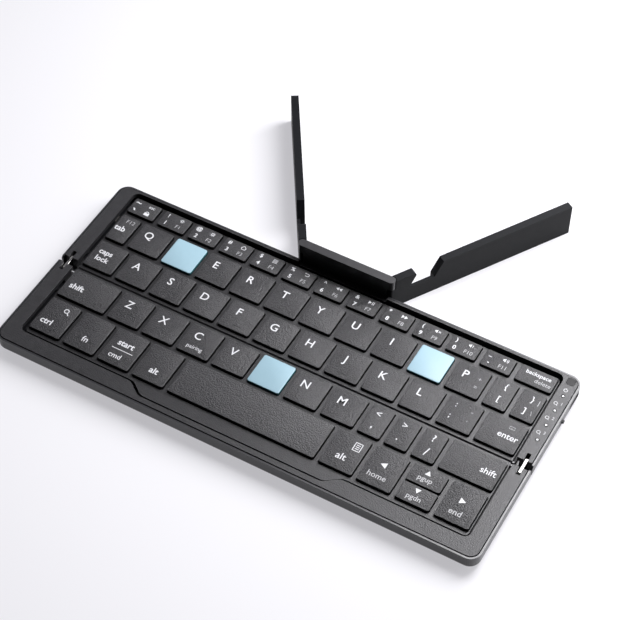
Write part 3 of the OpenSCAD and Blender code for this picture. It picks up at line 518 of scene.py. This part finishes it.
def build_shade_ring_tree():
    """A round-edged ring at each corner of the plan, the black ring of painted shade round a pipe.
    """
    tree, given, result = new_tree(
        "GeometryNodeTree", "shade_rings",
        {
            "Geometry": ("Geometry", None), "Radius": ("Float", SHADE_RING_RADIUS),
            "Thickness": ("Float", SHADE_RING_THICKNESS), "Finish": ("Material", None),
        },
        {"Geometry": "Geometry"},
    )
    circle = "GeometryNodeCurvePrimitiveCircle"
    path = add(tree, circle, {"Resolution": SHADE_RING_STEPS, "Radius": given["Radius"]})
    section = add(
        tree, circle, {"Resolution": SHADE_RING_SECTION_STEPS, "Radius": given["Thickness"]}
    )
    ring = add(tree, "GeometryNodeCurveToMesh", {
        "Curve": path["Curve"], "Profile Curve": section["Curve"],
    })
    placed = add(tree, "GeometryNodeInstanceOnPoints", {
        "Points": given["Geometry"], "Instance": ring["Mesh"],
    })
    real = add(tree, "GeometryNodeRealizeInstances", {"Geometry": placed["Instances"]})
    painted = add(tree, "GeometryNodeSetMaterial", {
        "Geometry": real["Geometry"], "Material": given["Finish"],
    })
    tree.links.new(painted["Geometry"], result["Geometry"])
    return tree


# A black ring round each pipe: painted shade standing in for the hole the pipe sits in.
shade_ring_black = moulded_plastic(
    "shade_ring_black", (0.003, 0.003, 0.003), 0.5, 0.1, 5200.0, 0.002, specular=0.15
)
pipe_places = [
    Vector(((low.x + high.x) / 2, (low.y + high.y) / 2, rim_top))
    for low, high in solid_boxes("light_pipes")
]
pipe_places.sort(key=lambda place: -place.y)
shade_rings = plan_object("plan_collars", pipe_places, [])
build_on(shade_rings, build_shade_ring_tree(), {
    "Radius": SHADE_RING_RADIUS, "Thickness": SHADE_RING_THICKNESS, "Finish": shade_ring_black,
})
shade_rings = settle(shade_rings, "indicator_shade_rings")
shade_rings.data.shade_smooth()
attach(shade_rings, "rear_half")

# -------------------------------------------------------------------------------------------------
# Keycaps
# Sixty thin caps of grained black plastic, three of them pale cyan. Their flanks are darker copies
# of the plastics: painted shade on the sides away from the light. A Geometry Nodes tree makes the
# caps of a node from one flat rectangle for each cap.
# -------------------------------------------------------------------------------------------------
CAP_CORNER = 0.9 * MM
CAP_CORNER_STEPS = 5
CAP_HEIGHT = 2.0 * MM
CAP_EDGE = 0.2 * MM
CAP_EDGE_STEPS = 3
CAP_EDGE_ANGLE = math.radians(50)
CAP_WALL = 0.7 * MM
RIM_FACE_LIMIT = 1.5


def build_cap_tree():
    """Rounds each rectangle's corners, fills it as a cap's top and draws the flanks down."""
    tree, given, result = new_tree(
        "GeometryNodeTree", "keycaps",
        {
            "Geometry": ("Geometry", None), "Corner Radius": ("Float", CAP_CORNER),
            "Level": ("Float", None), "Height": ("Float", CAP_HEIGHT),
            "Top": ("Material", None), "Flanks": ("Material", None),
        },
        {"Geometry": "Geometry"},
    )
    outline = add(tree, "GeometryNodeMeshToCurve", {"Mesh": given["Geometry"]})
    fillet = add(tree, "GeometryNodeFilletCurve", {
        "Count": CAP_CORNER_STEPS, "Curve": outline["Curve"], "Radius": given["Corner Radius"],
    }, mode="POLY")
    top = add(tree, "GeometryNodeFillCurve", {"Curve": fillet["Curve"]}, mode="NGONS")
    lift = add(tree, "ShaderNodeCombineXYZ", {"Z": given["Level"]})
    raised = add(tree, "GeometryNodeSetPosition", {
        "Offset": lift["Vector"], "Geometry": top["Mesh"],
    })
    painted_top = add(tree, "GeometryNodeSetMaterial", {
        "Geometry": raised["Geometry"], "Material": given["Top"],
    })

    # The edges with one face are a top's rim, and are drawn down as a strip of flank
    rim = add(tree, "GeometryNodeInputMeshEdgeNeighbors")
    on_rim = compute(tree, "LESS_THAN", rim["Face Count"], RIM_FACE_LIMIT)
    drop = add(tree, "ShaderNodeCombineXYZ", {
        "Z": compute(tree, "MULTIPLY", given["Height"], -1.0),
    })
    flank = add(tree, "GeometryNodeExtrudeMesh", {
        "Offset Scale": 1.0, "Mesh": painted_top["Geometry"], "Selection": on_rim,
        "Offset": drop["Vector"],
    }, mode="EDGES")
    painted_flank = add(tree, "GeometryNodeSetMaterial", {
        "Geometry": flank["Mesh"], "Selection": flank["Side"], "Material": given["Flanks"],
    })
    real = add(tree, "GeometryNodeRealizeInstances", {"Geometry": painted_flank["Geometry"]})
    tree.links.new(real["Geometry"], result["Geometry"])
    return tree


cap_tree = build_cap_tree()


def make_caps(body, top, flanks):
    """The caps of one key body: a thin shell with rounded edges over each solid of the node."""
    boxes = solid_boxes(body)
    corners, faces = [], []
    for low, high in boxes:
        first = len(corners)
        corners += [(low.x, low.y, 0), (high.x, low.y, 0), (high.x, high.y, 0), (low.x, high.y, 0)]
        faces.append(tuple(range(first, first + 4)))
    plan = plan_object("plan_" + body, corners, faces)
    build_on(plan, cap_tree, {
        "Corner Radius": CAP_CORNER, "Level": boxes[0][1].z,
        "Height": boxes[0][1].z - boxes[0][0].z, "Top": top, "Flanks": flanks,
    })
    plan.modifiers.new("weld", "WELD").merge_threshold = WELD_REACH
    rounding = plan.modifiers.new("edge", "BEVEL")
    rounding.width, rounding.segments = CAP_EDGE, CAP_EDGE_STEPS
    rounding.limit_method, rounding.angle_limit = "ANGLE", CAP_EDGE_ANGLE
    rounding.material = 0
    wall = plan.modifiers.new("wall", "SOLIDIFY")
    wall.thickness, wall.offset = CAP_WALL, -1.0
    caps = settle(plan, "caps_" + body)
    caps.data.shade_smooth()
    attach(caps, body)
    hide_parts(body)


key_plastic = moulded_plastic("key_plastic", (0.0135, 0.0135, 0.0145), 0.34, 1.4, 1750.0, 0.34)
# The flanks' plastics are darker copies of the tops': painted shade on the cap sides.
key_flank_shade = moulded_plastic(
    "key_flank_shade", (0.003, 0.003, 0.0035), 0.6, 0.3, 3600.0, 0.006, specular=0.15
)
accent_plastic = moulded_plastic(
    "accent_plastic", (0.235, 0.362, 0.42), 0.44, 0.06, 3600.0, 0.012
)
accent_flank_shade = moulded_plastic(
    "accent_flank_shade", (0.05, 0.16, 0.18), 0.5, 0.1, 3600.0, 0.006, specular=0.3
)
moving_bodies = [joint["child"] for joint in frame["joints"]]
plain_bodies = sorted(body for body in moving_bodies if body.endswith(("_key", "_keys", "_bar")))
accent_bodies = [body for body in moving_bodies if body.startswith("accent_key")]
for body in plain_bodies:
    make_caps(body, key_plastic, key_flank_shade)
for body in accent_bodies:
    make_caps(body, accent_plastic, accent_flank_shade)

# -------------------------------------------------------------------------------------------------
# Legends
# Plain white lettering and signs, pad printed on the caps. The main legends are heavier, those of
# the second layer thinner and greyer. Each is a flat outline that lies on its cap.
# -------------------------------------------------------------------------------------------------
INK_LIFT = 0.02 * MM
LETTER_HEIGHT = 3.7
LETTER_PLACE = (-2.2, 2.3)
WORD_HEIGHT = 2.8
SMALL_HEIGHT = 2.0
THIN = -0.006
PLAIN = 0.007
BOLD = 0.02
TYPE_STEPS = 3
STROKE = 0.12
FINE_STROKE = 0.08
ARC_STEP = 24
ARC_LEAST_STEPS = 4

main_ink = moulded_plastic("main_ink", (0.58, 0.59, 0.60), 0.5, 0.05, 5200.0, 0.003)
second_ink = moulded_plastic("second_ink", (0.36, 0.365, 0.37), 0.5, 0.15, 5200.0, 0.003)


def bar(x0, y0, x1, y1, width=STROKE):
    """A straight stroke. A sign is drawn in units of its height, from 0 to 1."""
    along = Vector((x1 - x0, y1 - y0)).normalized() * width / 2
    side = Vector((-along.y, along.x))
    return [[
        (x0 - side.x, y0 - side.y), (x1 - side.x, y1 - side.y),
        (x1 + side.x, y1 + side.y), (x0 + side.x, y0 + side.y),
    ]]


def on_circle(x, y, radius, turn):
    return (x + radius * math.cos(turn), y + radius * math.sin(turn))


def arc(x, y, radius, start=0.0, end=360.0, width=STROKE):
    """A round stroke, from one angle to another."""
    steps = max(ARC_LEAST_STEPS, int(abs(end - start) / ARC_STEP))
    turns = [math.radians(start + (end - start) * i / steps) for i in range(steps + 1)]
    outer = [on_circle(x, y, radius + width / 2, turn) for turn in turns]
    inner = [on_circle(x, y, radius - width / 2, turn) for turn in turns]
    return [[outer[i], outer[i + 1], inner[i + 1], inner[i]] for i in range(steps)]


def sun(radius):
    rays = [
        bar(*on_circle(0, 0.5, radius + 0.1, turn), *on_circle(0, 0.5, radius + 0.25, turn), 0.1)
        for turn in (math.radians(45 * i) for i in range(8))
    ]
    return arc(0, 0.5, radius) + sum(rays, [])


def frame_of(x, low, high):
    """Four fine strokes round a rectangle. The upright ones close its corners."""
    foot, head = low - FINE_STROKE / 2, high + FINE_STROKE / 2
    return (
        bar(-x, low, x, low, FINE_STROKE) + bar(-x, high, x, high, FINE_STROKE)
        + bar(-x, foot, -x, head, FINE_STROKE) + bar(x, foot, x, head, FINE_STROKE)
    )


def triangle(x, y, width, height):
    """A filled arrow head. Its point is at x, and a negative width makes it point to the left."""
    return [[(x - width, y - height / 2), (x, y), (x - width, y + height / 2)]]


SPEAKER = [[(-0.6, 0.32), (-0.4, 0.32), (-0.1, 0.08), (-0.1, 0.92), (-0.4, 0.68), (-0.6, 0.68)]]
SIGNS = {
    "dim": sun(0.2),
    "bright": sun(0.26),
    "home page": bar(-0.55, 0.42, 0, 0.95) + bar(0, 0.95, 0.55, 0.42)
    + bar(-0.4, 0.05, -0.4, 0.5) + bar(0.4, 0.05, 0.4, 0.5) + bar(-0.4, 0.05, 0.4, 0.05),
    "list": sum((bar(-0.5, y, 0.5, y, 0.1) for y in (0.1, 0.37, 0.63, 0.9)), []),
    "back": bar(-0.5, 0.8, 0.15, 0.8) + arc(0.15, 0.5, 0.3, -90, 90) + bar(-0.3, 0.2, 0.15, 0.2)
    + triangle(-0.6, 0.8, -0.25, 0.4),
    "rewind": triangle(-0.65, 0.5, -0.6, 0.8) + triangle(0, 0.5, -0.6, 0.8),
    "play": triangle(-0.05, 0.5, 0.6, 0.8) + bar(0.18, 0.1, 0.18, 0.9) + bar(0.46, 0.1, 0.46, 0.9),
    "forward": triangle(0, 0.5, 0.6, 0.8) + triangle(0.65, 0.5, 0.6, 0.8),
    "mute": SPEAKER + bar(0.15, 0.3, 0.55, 0.7, 0.1) + bar(0.15, 0.7, 0.55, 0.3, 0.1),
    "quiet": SPEAKER + arc(-0.1, 0.5, 0.35, -45, 45, 0.1),
    "loud": SPEAKER + arc(-0.1, 0.5, 0.35, -45, 45, 0.1) + arc(-0.1, 0.5, 0.6, -45, 45, 0.1),
    "lock": [[(-0.42, 0), (0.42, 0), (0.42, 0.5), (-0.42, 0.5)]] + arc(0, 0.5, 0.27, 0, 180),
    "lens": arc(-0.1, 0.62, 0.3) + bar(0.12, 0.4, 0.42, 0.06, 0.14),
    "page": frame_of(0.36, 0.04, 0.96)
    + sum((bar(-0.2, y, 0.2, y, FINE_STROKE) for y in (0.28, 0.5, 0.72)), []),
    "screen": frame_of(0.7, 0.1, 0.9) + bar(-0.35, 0.35, 0.35, 0.35, FINE_STROKE),
    "left": triangle(-0.45, 0.5, -0.85, 0.95),
    "right": triangle(0.45, 0.5, 0.85, 0.95),
    "up": [[(-0.48, 0.08), (0.48, 0.08), (0, 0.92)]],
    "down": [[(-0.48, 0.92), (0, 0.08), (0.48, 0.92)]],
    "rule": bar(-0.5, 0.5, 0.5, 0.5, 0.03),
    "channel": arc(0, 0.5, 0.36, width=0.14) + bar(0.28, 0.2, 0.5, 0, 0.14),
    "power": arc(0, 0.45, 0.38, 120, 420, 0.15) + bar(0, 0.5, 0, 1.0, 0.15),
}


def word(text, x, y, height, weight=PLAIN, ink=main_ink):
    """Lettering: the middle of its width and height, and a capital's height, in millimetres."""
    return {"text": text, "x": x, "y": y, "height": height, "weight": weight, "ink": ink}


def sign(name, x, y, height, ink=second_ink):
    return {"sign": name, "x": x, "y": y, "height": height, "ink": ink}


def letter(text):
    return [word(text, *LETTER_PLACE, LETTER_HEIGHT)]


def letters(texts):
    return [letter(text) for text in texts]


def number(shifted, digit, picture, second):
    """The four legends of a key in the number row."""
    return [
        word(shifted, -4.2, 2.3, 1.9, BOLD), word(digit, -3.7, -1.8, SMALL_HEIGHT, BOLD),
        sign(picture, 2.6, 2.1, 2.2, main_ink), word(second, 2.6, -1.7, 1.9, THIN, second_ink),
    ]


def layer(text, x, y, height=SMALL_HEIGHT, weight=THIN):
    """A legend of the second layer."""
    return [word(text, x, y, height, weight, second_ink)]


def arrow(name, x, y, height, text, text_x, text_y, text_height):
    """An arrow key's main sign, and the word of its second layer."""
    return [sign(name, x, y, height, main_ink)] + layer(text, text_x, text_y, text_height, PLAIN)


HOME_LETTERS = "ASDFGHJKL"
# For each key body, the marks of each of its caps from left to right
LEGENDS = {
    "escape_key": [[
        word("~", -4.2, 2.5, 3.0, BOLD), word("`", -4.0, -3.4, 4.4, BOLD),
        word("esc", 2.6, 2.4, 1.6), sign("lock", 2.2, -1.4, 2.9, main_ink),
    ]],
    "number_keys": [
        number("!", "1", "dim", "F1"), number("@", "2", "bright", "F2"),
        number("#", "3", "home page", "F3"), number("$", "4", "list", "F4"),
        number("%", "5", "back", "F5"), number("^", "6", "rewind", "F6"),
        number("&", "7", "play", "F7"), number("*", "8", "forward", "F8"),
        number("(", "9", "mute", "F9"), number(")", "0", "quiet", "F10"),
        number("_", "-", "loud", "F11"),
    ],
    "backspace_key": [[word("backspace", 0.3, 1.9, 1.9)] + layer("delete", 3.4, -1.3)],
    "tab_key": [[word("tab", -1.4, 0.0, WORD_HEIGHT, BOLD)] + layer("F12", 1.0, 4.7)],
    "upper_letter_keys": letters("QERTYUI") + [
        letter("P") + layer("+", 4.2, 2.4) + layer("=", 4.2, -2.0),
        [word("{", 0.6, 4.4, 2.7), word("[", 0.2, -2.4, 2.7)],
        [word("}", 0.4, 3.8, 2.7), word("]", -0.4, -2.6, 2.7)]
        + layer("|", 3.3, 3.4, 2.2) + layer("\\", 2.6, -3.0, 2.2),
    ],
    "caps_lock_key": [[word("caps", -1.2, 2.4, 2.6, BOLD), word("lock", -1.0, -1.6, 2.6, BOLD)]],
    "home_letter_keys": letters(HOME_LETTERS) + [
        [word(":", -3.4, 4.2, 2.7), word(";", -3.6, -1.9, 2.7)]
        + layer('"', 3.9, 2.3) + layer("'", 3.9, -2.4),
    ],
    "enter_key": [[word("enter", 3.0, -0.2, WORD_HEIGHT), sign("screen", 2.9, 4.2, 1.6)]],
    "left_shift_key": [[word("shift", -5.8, -0.6, WORD_HEIGHT, BOLD)]],
    "lower_letter_keys": letters("ZX") + [letter("C") + [word("pairing", -0.6, -3.8, 1.9, THIN)]]
    + letters("VNM") + [
        [word("<", -0.8, 3.8, 2.9), word(",", -0.6, -1.9, 3.6)],
        [word(">", -1.0, 3.9, 2.9), word(".", -1.0, -2.2, 3.6)],
        [word("?", -0.1, 3.9, 3.2), word("/", 0.1, -3.2, 3.8)],
    ],
    "right_shift_key": [[word("shift", 6.8, 0.1, WORD_HEIGHT)]],
    "ctrl_key": [[
        word("ctrl", -2.3, -3.0, WORD_HEIGHT, BOLD), sign("lens", 2.6, 4.8, 3.3, main_ink),
    ]],
    "fn_key": [[word("fn", 0.3, -3.3, WORD_HEIGHT)]],
    "start_key": [[
        word("start", -0.2, 2.6, WORD_HEIGHT, BOLD), sign("rule", -0.1, -1.0, 10.0, main_ink),
        word("cmd", -1.4, -4.4, 2.4),
    ]],
    "left_alt_key": [[word("alt", -0.1, -3.2, WORD_HEIGHT, BOLD)]],
    "right_alt_key": [[word("alt", -0.4, -2.6, 3.1), sign("page", 3.4, 4.1, 4.2, main_ink)]],
    "arrow_left_key": [arrow("left", -0.7, 1.8, 3.0, "home", -0.8, -4.0, 2.5)],
    "arrow_up_key": [arrow("up", -0.5, 2.2, 2.6, "pgup", -0.5, -0.9, 2.3)],
    "arrow_down_key": [arrow("down", -0.5, 2.0, 2.6, "pgdn", -0.5, -1.2, 2.3)],
    "arrow_right_key": [arrow("right", -0.1, 1.7, 3.0, "end", -0.4, -4.1, 2.6)],
}
rim_marks = [[sign("power", -0.3, 3.3, 2.1)]] + [
    [sign("channel", -1.2, 3.6, 2.0), word(digit, 1.2, 4.2, 1.4, ink=second_ink)]
    for digit in "123"
]


def outlined(marks):
    """A flat mesh for each different word, centred, as high as one unit for a capital letter."""
    wanted = {(mark["text"], mark["weight"]) for mark in marks if "text" in mark}
    pieces = {}
    for text, weight in sorted(wanted | {("H", PLAIN)}):
        curve = bpy.data.curves.new("lettering", "FONT")
        curve.body, curve.align_x = text, "CENTER"
        curve.offset, curve.resolution_u = weight, TYPE_STEPS
        pieces[text, weight] = bpy.data.objects.new("lettering", curve)
        bpy.context.scene.collection.objects.link(pieces[text, weight])
    depsgraph = bpy.context.evaluated_depsgraph_get()
    outlines = {}
    for key, piece in pieces.items():
        mesh = bpy.data.meshes.new_from_object(piece.evaluated_get(depsgraph))
        corners = [corner.co.to_2d() for corner in mesh.vertices]
        outlines[key] = (corners, [tuple(face.vertices) for face in mesh.polygons])
        bpy.data.meshes.remove(mesh)
        bpy.data.objects.remove(piece)
    capital = max(corner.y for corner in outlines["H", PLAIN][0])
    return {
        key: ([corner / capital - Vector((0, 0.5)) for corner in corners], faces)
        for key, (corners, faces) in outlines.items()
    }


def drawn(strokes):
    """A sign's corners, centred on its height, and one face for each of its strokes."""
    corners, faces = [], []
    for stroke in strokes:
        faces.append(tuple(range(len(corners), len(corners) + len(stroke))))
        corners += [Vector(point) - Vector((0, 0.5)) for point in stroke]
    return corners, faces


every_mark = [mark for sets in LEGENDS.values() for marks in sets for mark in marks]
outlines = outlined(every_mark + sum(rim_marks, []))


def print_marks(name, body, groups):
    """Prints groups of marks, each round its own middle, as one piece that rides on a body."""
    corners, faces, inks = [], [], []
    for middle, marks in groups:
        for mark in marks:
            if "text" in mark:
                points, loops = outlines[mark["text"], mark["weight"]]
            else:
                points, loops = drawn(SIGNS[mark["sign"]])
            first, scale = len(corners), mark["height"] * MM
            place = middle + Vector((mark["x"] * MM, mark["y"] * MM, INK_LIFT))
            corners += [place + Vector((point.x * scale, point.y * scale, 0)) for point in points]
            faces += [tuple(first + corner for corner in loop) for loop in loops]
            inks += [0 if mark["ink"] is main_ink else 1] * len(loops)
    printed = plan_object(name, corners, faces)
    printed.data.materials.append(main_ink)
    printed.data.materials.append(second_ink)
    printed.data.polygons.foreach_set("material_index", inks)
    turned = bmesh.new()
    turned.from_mesh(printed.data)
    bmesh.ops.reverse_faces(turned, faces=[face for face in turned.faces if face.normal.z < 0])
    turned.to_mesh(printed.data)
    turned.free()
    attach(printed, body)


def top_middle(box):
    low, high = box
    return Vector(((low.x + high.x) / 2, (low.y + high.y) / 2, high.z))


for body, sets in LEGENDS.items():
    print_marks("legends_" + body, body, list(zip(map(top_middle, solid_boxes(body)), sets)))
print_marks("rim_marks", "rear_half", list(zip(pipe_places, rim_marks)))

# -------------------------------------------------------------------------------------------------
# Touch bars
# A short raised bar is moulded on the F and the J cap, in the caps' own plastic, so that
# fingers find the home row.
# -------------------------------------------------------------------------------------------------
TOUCH_BAR = Vector((3.6, 0.5, 0.28)) * MM
TOUCH_BAR_PLACE = Vector((0.4, -4.8, 0.0)) * MM
TOUCH_BAR_EDGE = 0.12 * MM
TOUCH_BAR_EDGE_STEPS = 2
home_boxes = solid_boxes("home_letter_keys")
touch = bmesh.new()
for home_key in "FJ":
    middle = top_middle(home_boxes[HOME_LETTERS.index(home_key)]) + TOUCH_BAR_PLACE
    for corner in bmesh.ops.create_cube(touch, size=1.0)["verts"]:
        corner.co = middle + corner.co * TOUCH_BAR
bmesh.ops.bevel(
    touch, geom=touch.edges[:], offset=TOUCH_BAR_EDGE, offset_type="OFFSET",
    segments=TOUCH_BAR_EDGE_STEPS, affect="EDGES",
)
touch_bars = plan_object("touch_bars", [], [])
touch.to_mesh(touch_bars.data)
touch.free()
touch_bars.data.materials.append(key_plastic)
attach(touch_bars, "home_letter_keys")

# -------------------------------------------------------------------------------------------------
# Key mechanisms
# Under every cap lie a pair of crossed nylon scissors and a silicone dome.
# They stand on a black film printed with carbon ink, on a stamped steel plate in each half.
# -------------------------------------------------------------------------------------------------
LINE_FIELD_SCALE = 160.0
LINE_FIELD_DETAIL = 1.0
LINE_ROUGHNESS = 0.35


def build_printed_lines():
    """Straight conductors, broken here and there: a mask."""
    group, given, result = new_tree(
        "ShaderNodeTree", "printed_lines",
        {
            "Across": ("Vector", (0.0, 1.0, 0.0)), "Pitch": ("Float", 2.0 * MM),
            "Share": ("Float", 0.35), "Breaks": ("Float", 0.4),
        },
        {"Mask": "Float"},
    )
    place = object_place(group)
    across = add(
        group, "ShaderNodeVectorMath", {0: place, 1: given["Across"]}, operation="DOT_PRODUCT"
    )["Value"]
    step = compute(group, "FRACT", compute(group, "DIVIDE", across, given["Pitch"]))
    line = compute(group, "LESS_THAN", step, given["Share"])
    field = add(group, "ShaderNodeTexNoise", {
        "Vector": place, "Scale": LINE_FIELD_SCALE, "Detail": LINE_FIELD_DETAIL,
    })["Fac"]
    whole = compute(group, "GREATER_THAN", field, given["Breaks"])
    group.links.new(compute(group, "MULTIPLY", line, whole), result["Mask"])
    return group


printed_lines = build_printed_lines()


def conductors(material, color, across, pitch, share, breaks, metallic=1.0):
    """Prints conductors on a material. The pitch is in millimetres."""
    lines = add(material.node_tree, "ShaderNodeGroup", {
        "Across": across, "Pitch": pitch * MM, "Share": share, "Breaks": breaks,
    }, node_tree=printed_lines)
    paint(material, lines["Mask"], color, LINE_ROUGHNESS, metallic)


plate_steel = metal("plate_steel", (0.48, 0.48, 0.49), 0.42, stretch=(0.5, 6.0, 6.0))
membrane_film = moulded_plastic(
    "membrane_film", (0.006, 0.006, 0.007), 0.45, 0.1, 1500.0, 0.004, specular=0.2
)
conductors(membrane_film, (0.016, 0.016, 0.017), (0.0, 1.0, 0.0), 1.7, 0.4, 0.42, metallic=0.0)
dome_silicone = moulded_plastic("dome_silicone", (0.50, 0.52, 0.54), 0.5, 0.1, 1500.0, 0.004)
scissor_nylon = moulded_plastic("scissor_nylon", (0.55, 0.55, 0.53), 0.45, 0.1, 2600.0, 0.005)
for half in ("rear", "front"):
    dress(half + "_support_plate", plate_steel, edge=0.04)
    dress(half + "_membrane", membrane_film, edge=0)

key_boxes = {body: solid_boxes(body) for body in plain_bodies + accent_bodies}


def key_above(point):
    """The body of the cap that lies over a point."""
    for body, boxes in key_boxes.items():
        if any(low.x <= point.x <= high.x and low.y <= point.y <= high.y for low, high in boxes):
            return body


def build_mechanisms(half):
    """The domes and scissors under each key body, as one piece for each body that rides on the
    half.
    """
    gathered = {}
    for finish, kind in enumerate(("_domes", "_scissors")):
        mesh = nodes[half + kind].data
        for face in mesh.polygons:
            corners, faces, finishes = gathered.setdefault(key_above(face.center), ([], [], []))
            faces.append(tuple(range(len(corners), len(corners) + len(face.vertices))))
            corners += [mesh.vertices[corner].co.copy() for corner in face.vertices]
            finishes.append(finish)
    for body, (corners, faces, finishes) in gathered.items():
        piece = plan_object("mechanism_" + body, corners, faces)
        piece.data.materials.append(dome_silicone)
        piece.data.materials.append(scissor_nylon)
        piece.data.polygons.foreach_set("material_index", finishes)
        joined = bmesh.new()
        joined.from_mesh(piece.data)
        bmesh.ops.remove_doubles(joined, verts=joined.verts, dist=MERGE_REACH)
        joined.to_mesh(piece.data)
        joined.free()
        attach(piece, half + "_half")
        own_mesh(piece)
        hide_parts(half + "_domes", half + "_scissors")


for half in ("rear", "front"):
    build_mechanisms(half)

# -------------------------------------------------------------------------------------------------
# Boards and their parts
# Two green boards with gold-plated conductors. The main one lies at the right end of the rear
# tray, the narrow one under the indicators. The chips are black epoxy on tinned feet.
# -------------------------------------------------------------------------------------------------
CHIP_FEET = 0.12 * MM
board_mask = moulded_plastic("board_mask", (0.006, 0.065, 0.028), 0.3, 0.2, 1500.0, 0.004)
conductors(board_mask, (0.45, 0.33, 0.14), (1.0, 0.6, 0.0), 0.9, 0.3, 0.5)
chip_epoxy = moulded_plastic("chip_epoxy", (0.012, 0.012, 0.013), 0.5, 0.5, 2600.0, 0.006)
board_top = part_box("main_board")[1].z
paint(chip_epoxy, near(chip_epoxy, "Z", board_top, CHIP_FEET), (0.6, 0.6, 0.58), 0.35, 1.0)
for board in ("main_board", "indicator_board"):
    dress(board, board_mask, edge=0)
dress("board_components", chip_epoxy, edge=0.04)

# -------------------------------------------------------------------------------------------------
# Battery
# A flat pouch of embossed aluminium laminate, glued to the floor of the rear tray. Amber tape
# covers the end with the terminals.
# -------------------------------------------------------------------------------------------------
TAPE_WIDTH = 4.5 * MM
pouch_foil = metal("pouch_foil", (0.62, 0.62, 0.63), 0.36, stretch=(0.35, 0.35, 0.35), depth=0.03)
battery_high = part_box("battery")[1]
paint(pouch_foil, near(pouch_foil, "X", battery_high.x, TAPE_WIDTH), (0.48, 0.24, 0.03), 0.3, 0.0)
dress("battery", pouch_foil, edge=0.4, segments=3)

# -------------------------------------------------------------------------------------------------
# Ribbon cable
# A strip of amber film with copper conductors, which crosses the fold between the link plates and
# joins the front half to the board. It is made of two straight lengths that meet at the fold.
# -------------------------------------------------------------------------------------------------
RIBBON_STEPS = 20
ribbon_low, ribbon_high = (Vector(corner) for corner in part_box("flex_cable"))
ribbon_film = moulded_plastic("ribbon_film", (0.50, 0.26, 0.05), 0.3, 0.1, 1500.0, 0.003)
conductors(ribbon_film, (0.72, 0.40, 0.22), (1.0, 0.0, 0.0), 1.0, 0.5, 0.0)


def ribbon(name, y_from, y_to):
    """A straight length of the ribbon, from one place along it to another."""
    piece = plan_object(name, [], [])
    strip = bmesh.new()
    rings = []
    for step in range(RIBBON_STEPS + 1):
        y = y_from + (y_to - y_from) * step / RIBBON_STEPS
        rings.append([
            strip.verts.new((x, y, z))
            for x, z in (
                (ribbon_low.x, ribbon_low.z), (ribbon_high.x, ribbon_low.z),
                (ribbon_high.x, ribbon_high.z), (ribbon_low.x, ribbon_high.z),
            )
        ])
    for before, after in zip(rings, rings[1:]):
        for i in range(4):
            strip.faces.new((before[i], before[(i + 1) % 4], after[(i + 1) % 4], after[i]))
    strip.faces.new(rings[0])
    strip.faces.new(rings[-1])
    bmesh.ops.recalc_face_normals(strip, faces=strip.faces)
    strip.to_mesh(piece.data)
    strip.free()
    piece.data.materials.append(ribbon_film)
    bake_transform(piece)
    return piece


rear_ribbon = ribbon(
    "ribbon_rear", ribbon_high.y, fold_y
)
ribbon("ribbon_front", fold_y, ribbon_low.y)
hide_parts("flex_cable")

# -------------------------------------------------------------------------------------------------
# Magnets, feet and screws
# Nickel-plated magnets hold the halves shut, black screws hold each tray to its rim from below, and
# moulded rubber feet stand in shallow pockets of the trays.
# -------------------------------------------------------------------------------------------------
nickel = metal("nickel", (0.60, 0.58, 0.54), 0.22)
black_steel = metal("black_steel", (0.05, 0.05, 0.055), 0.35)
foot_rubber = moulded_plastic(
    "foot_rubber", (0.011, 0.011, 0.012), 0.75, 0.3, 2600.0, 0.03, specular=0.3
)
for half in ("rear", "front"):
    dress(half + "_magnets", nickel, edge=0.1)
    dress(half + "_feet", foot_rubber, edge=0.25, segments=3)
    dress(half + "_screws", black_steel, edge=0.06)
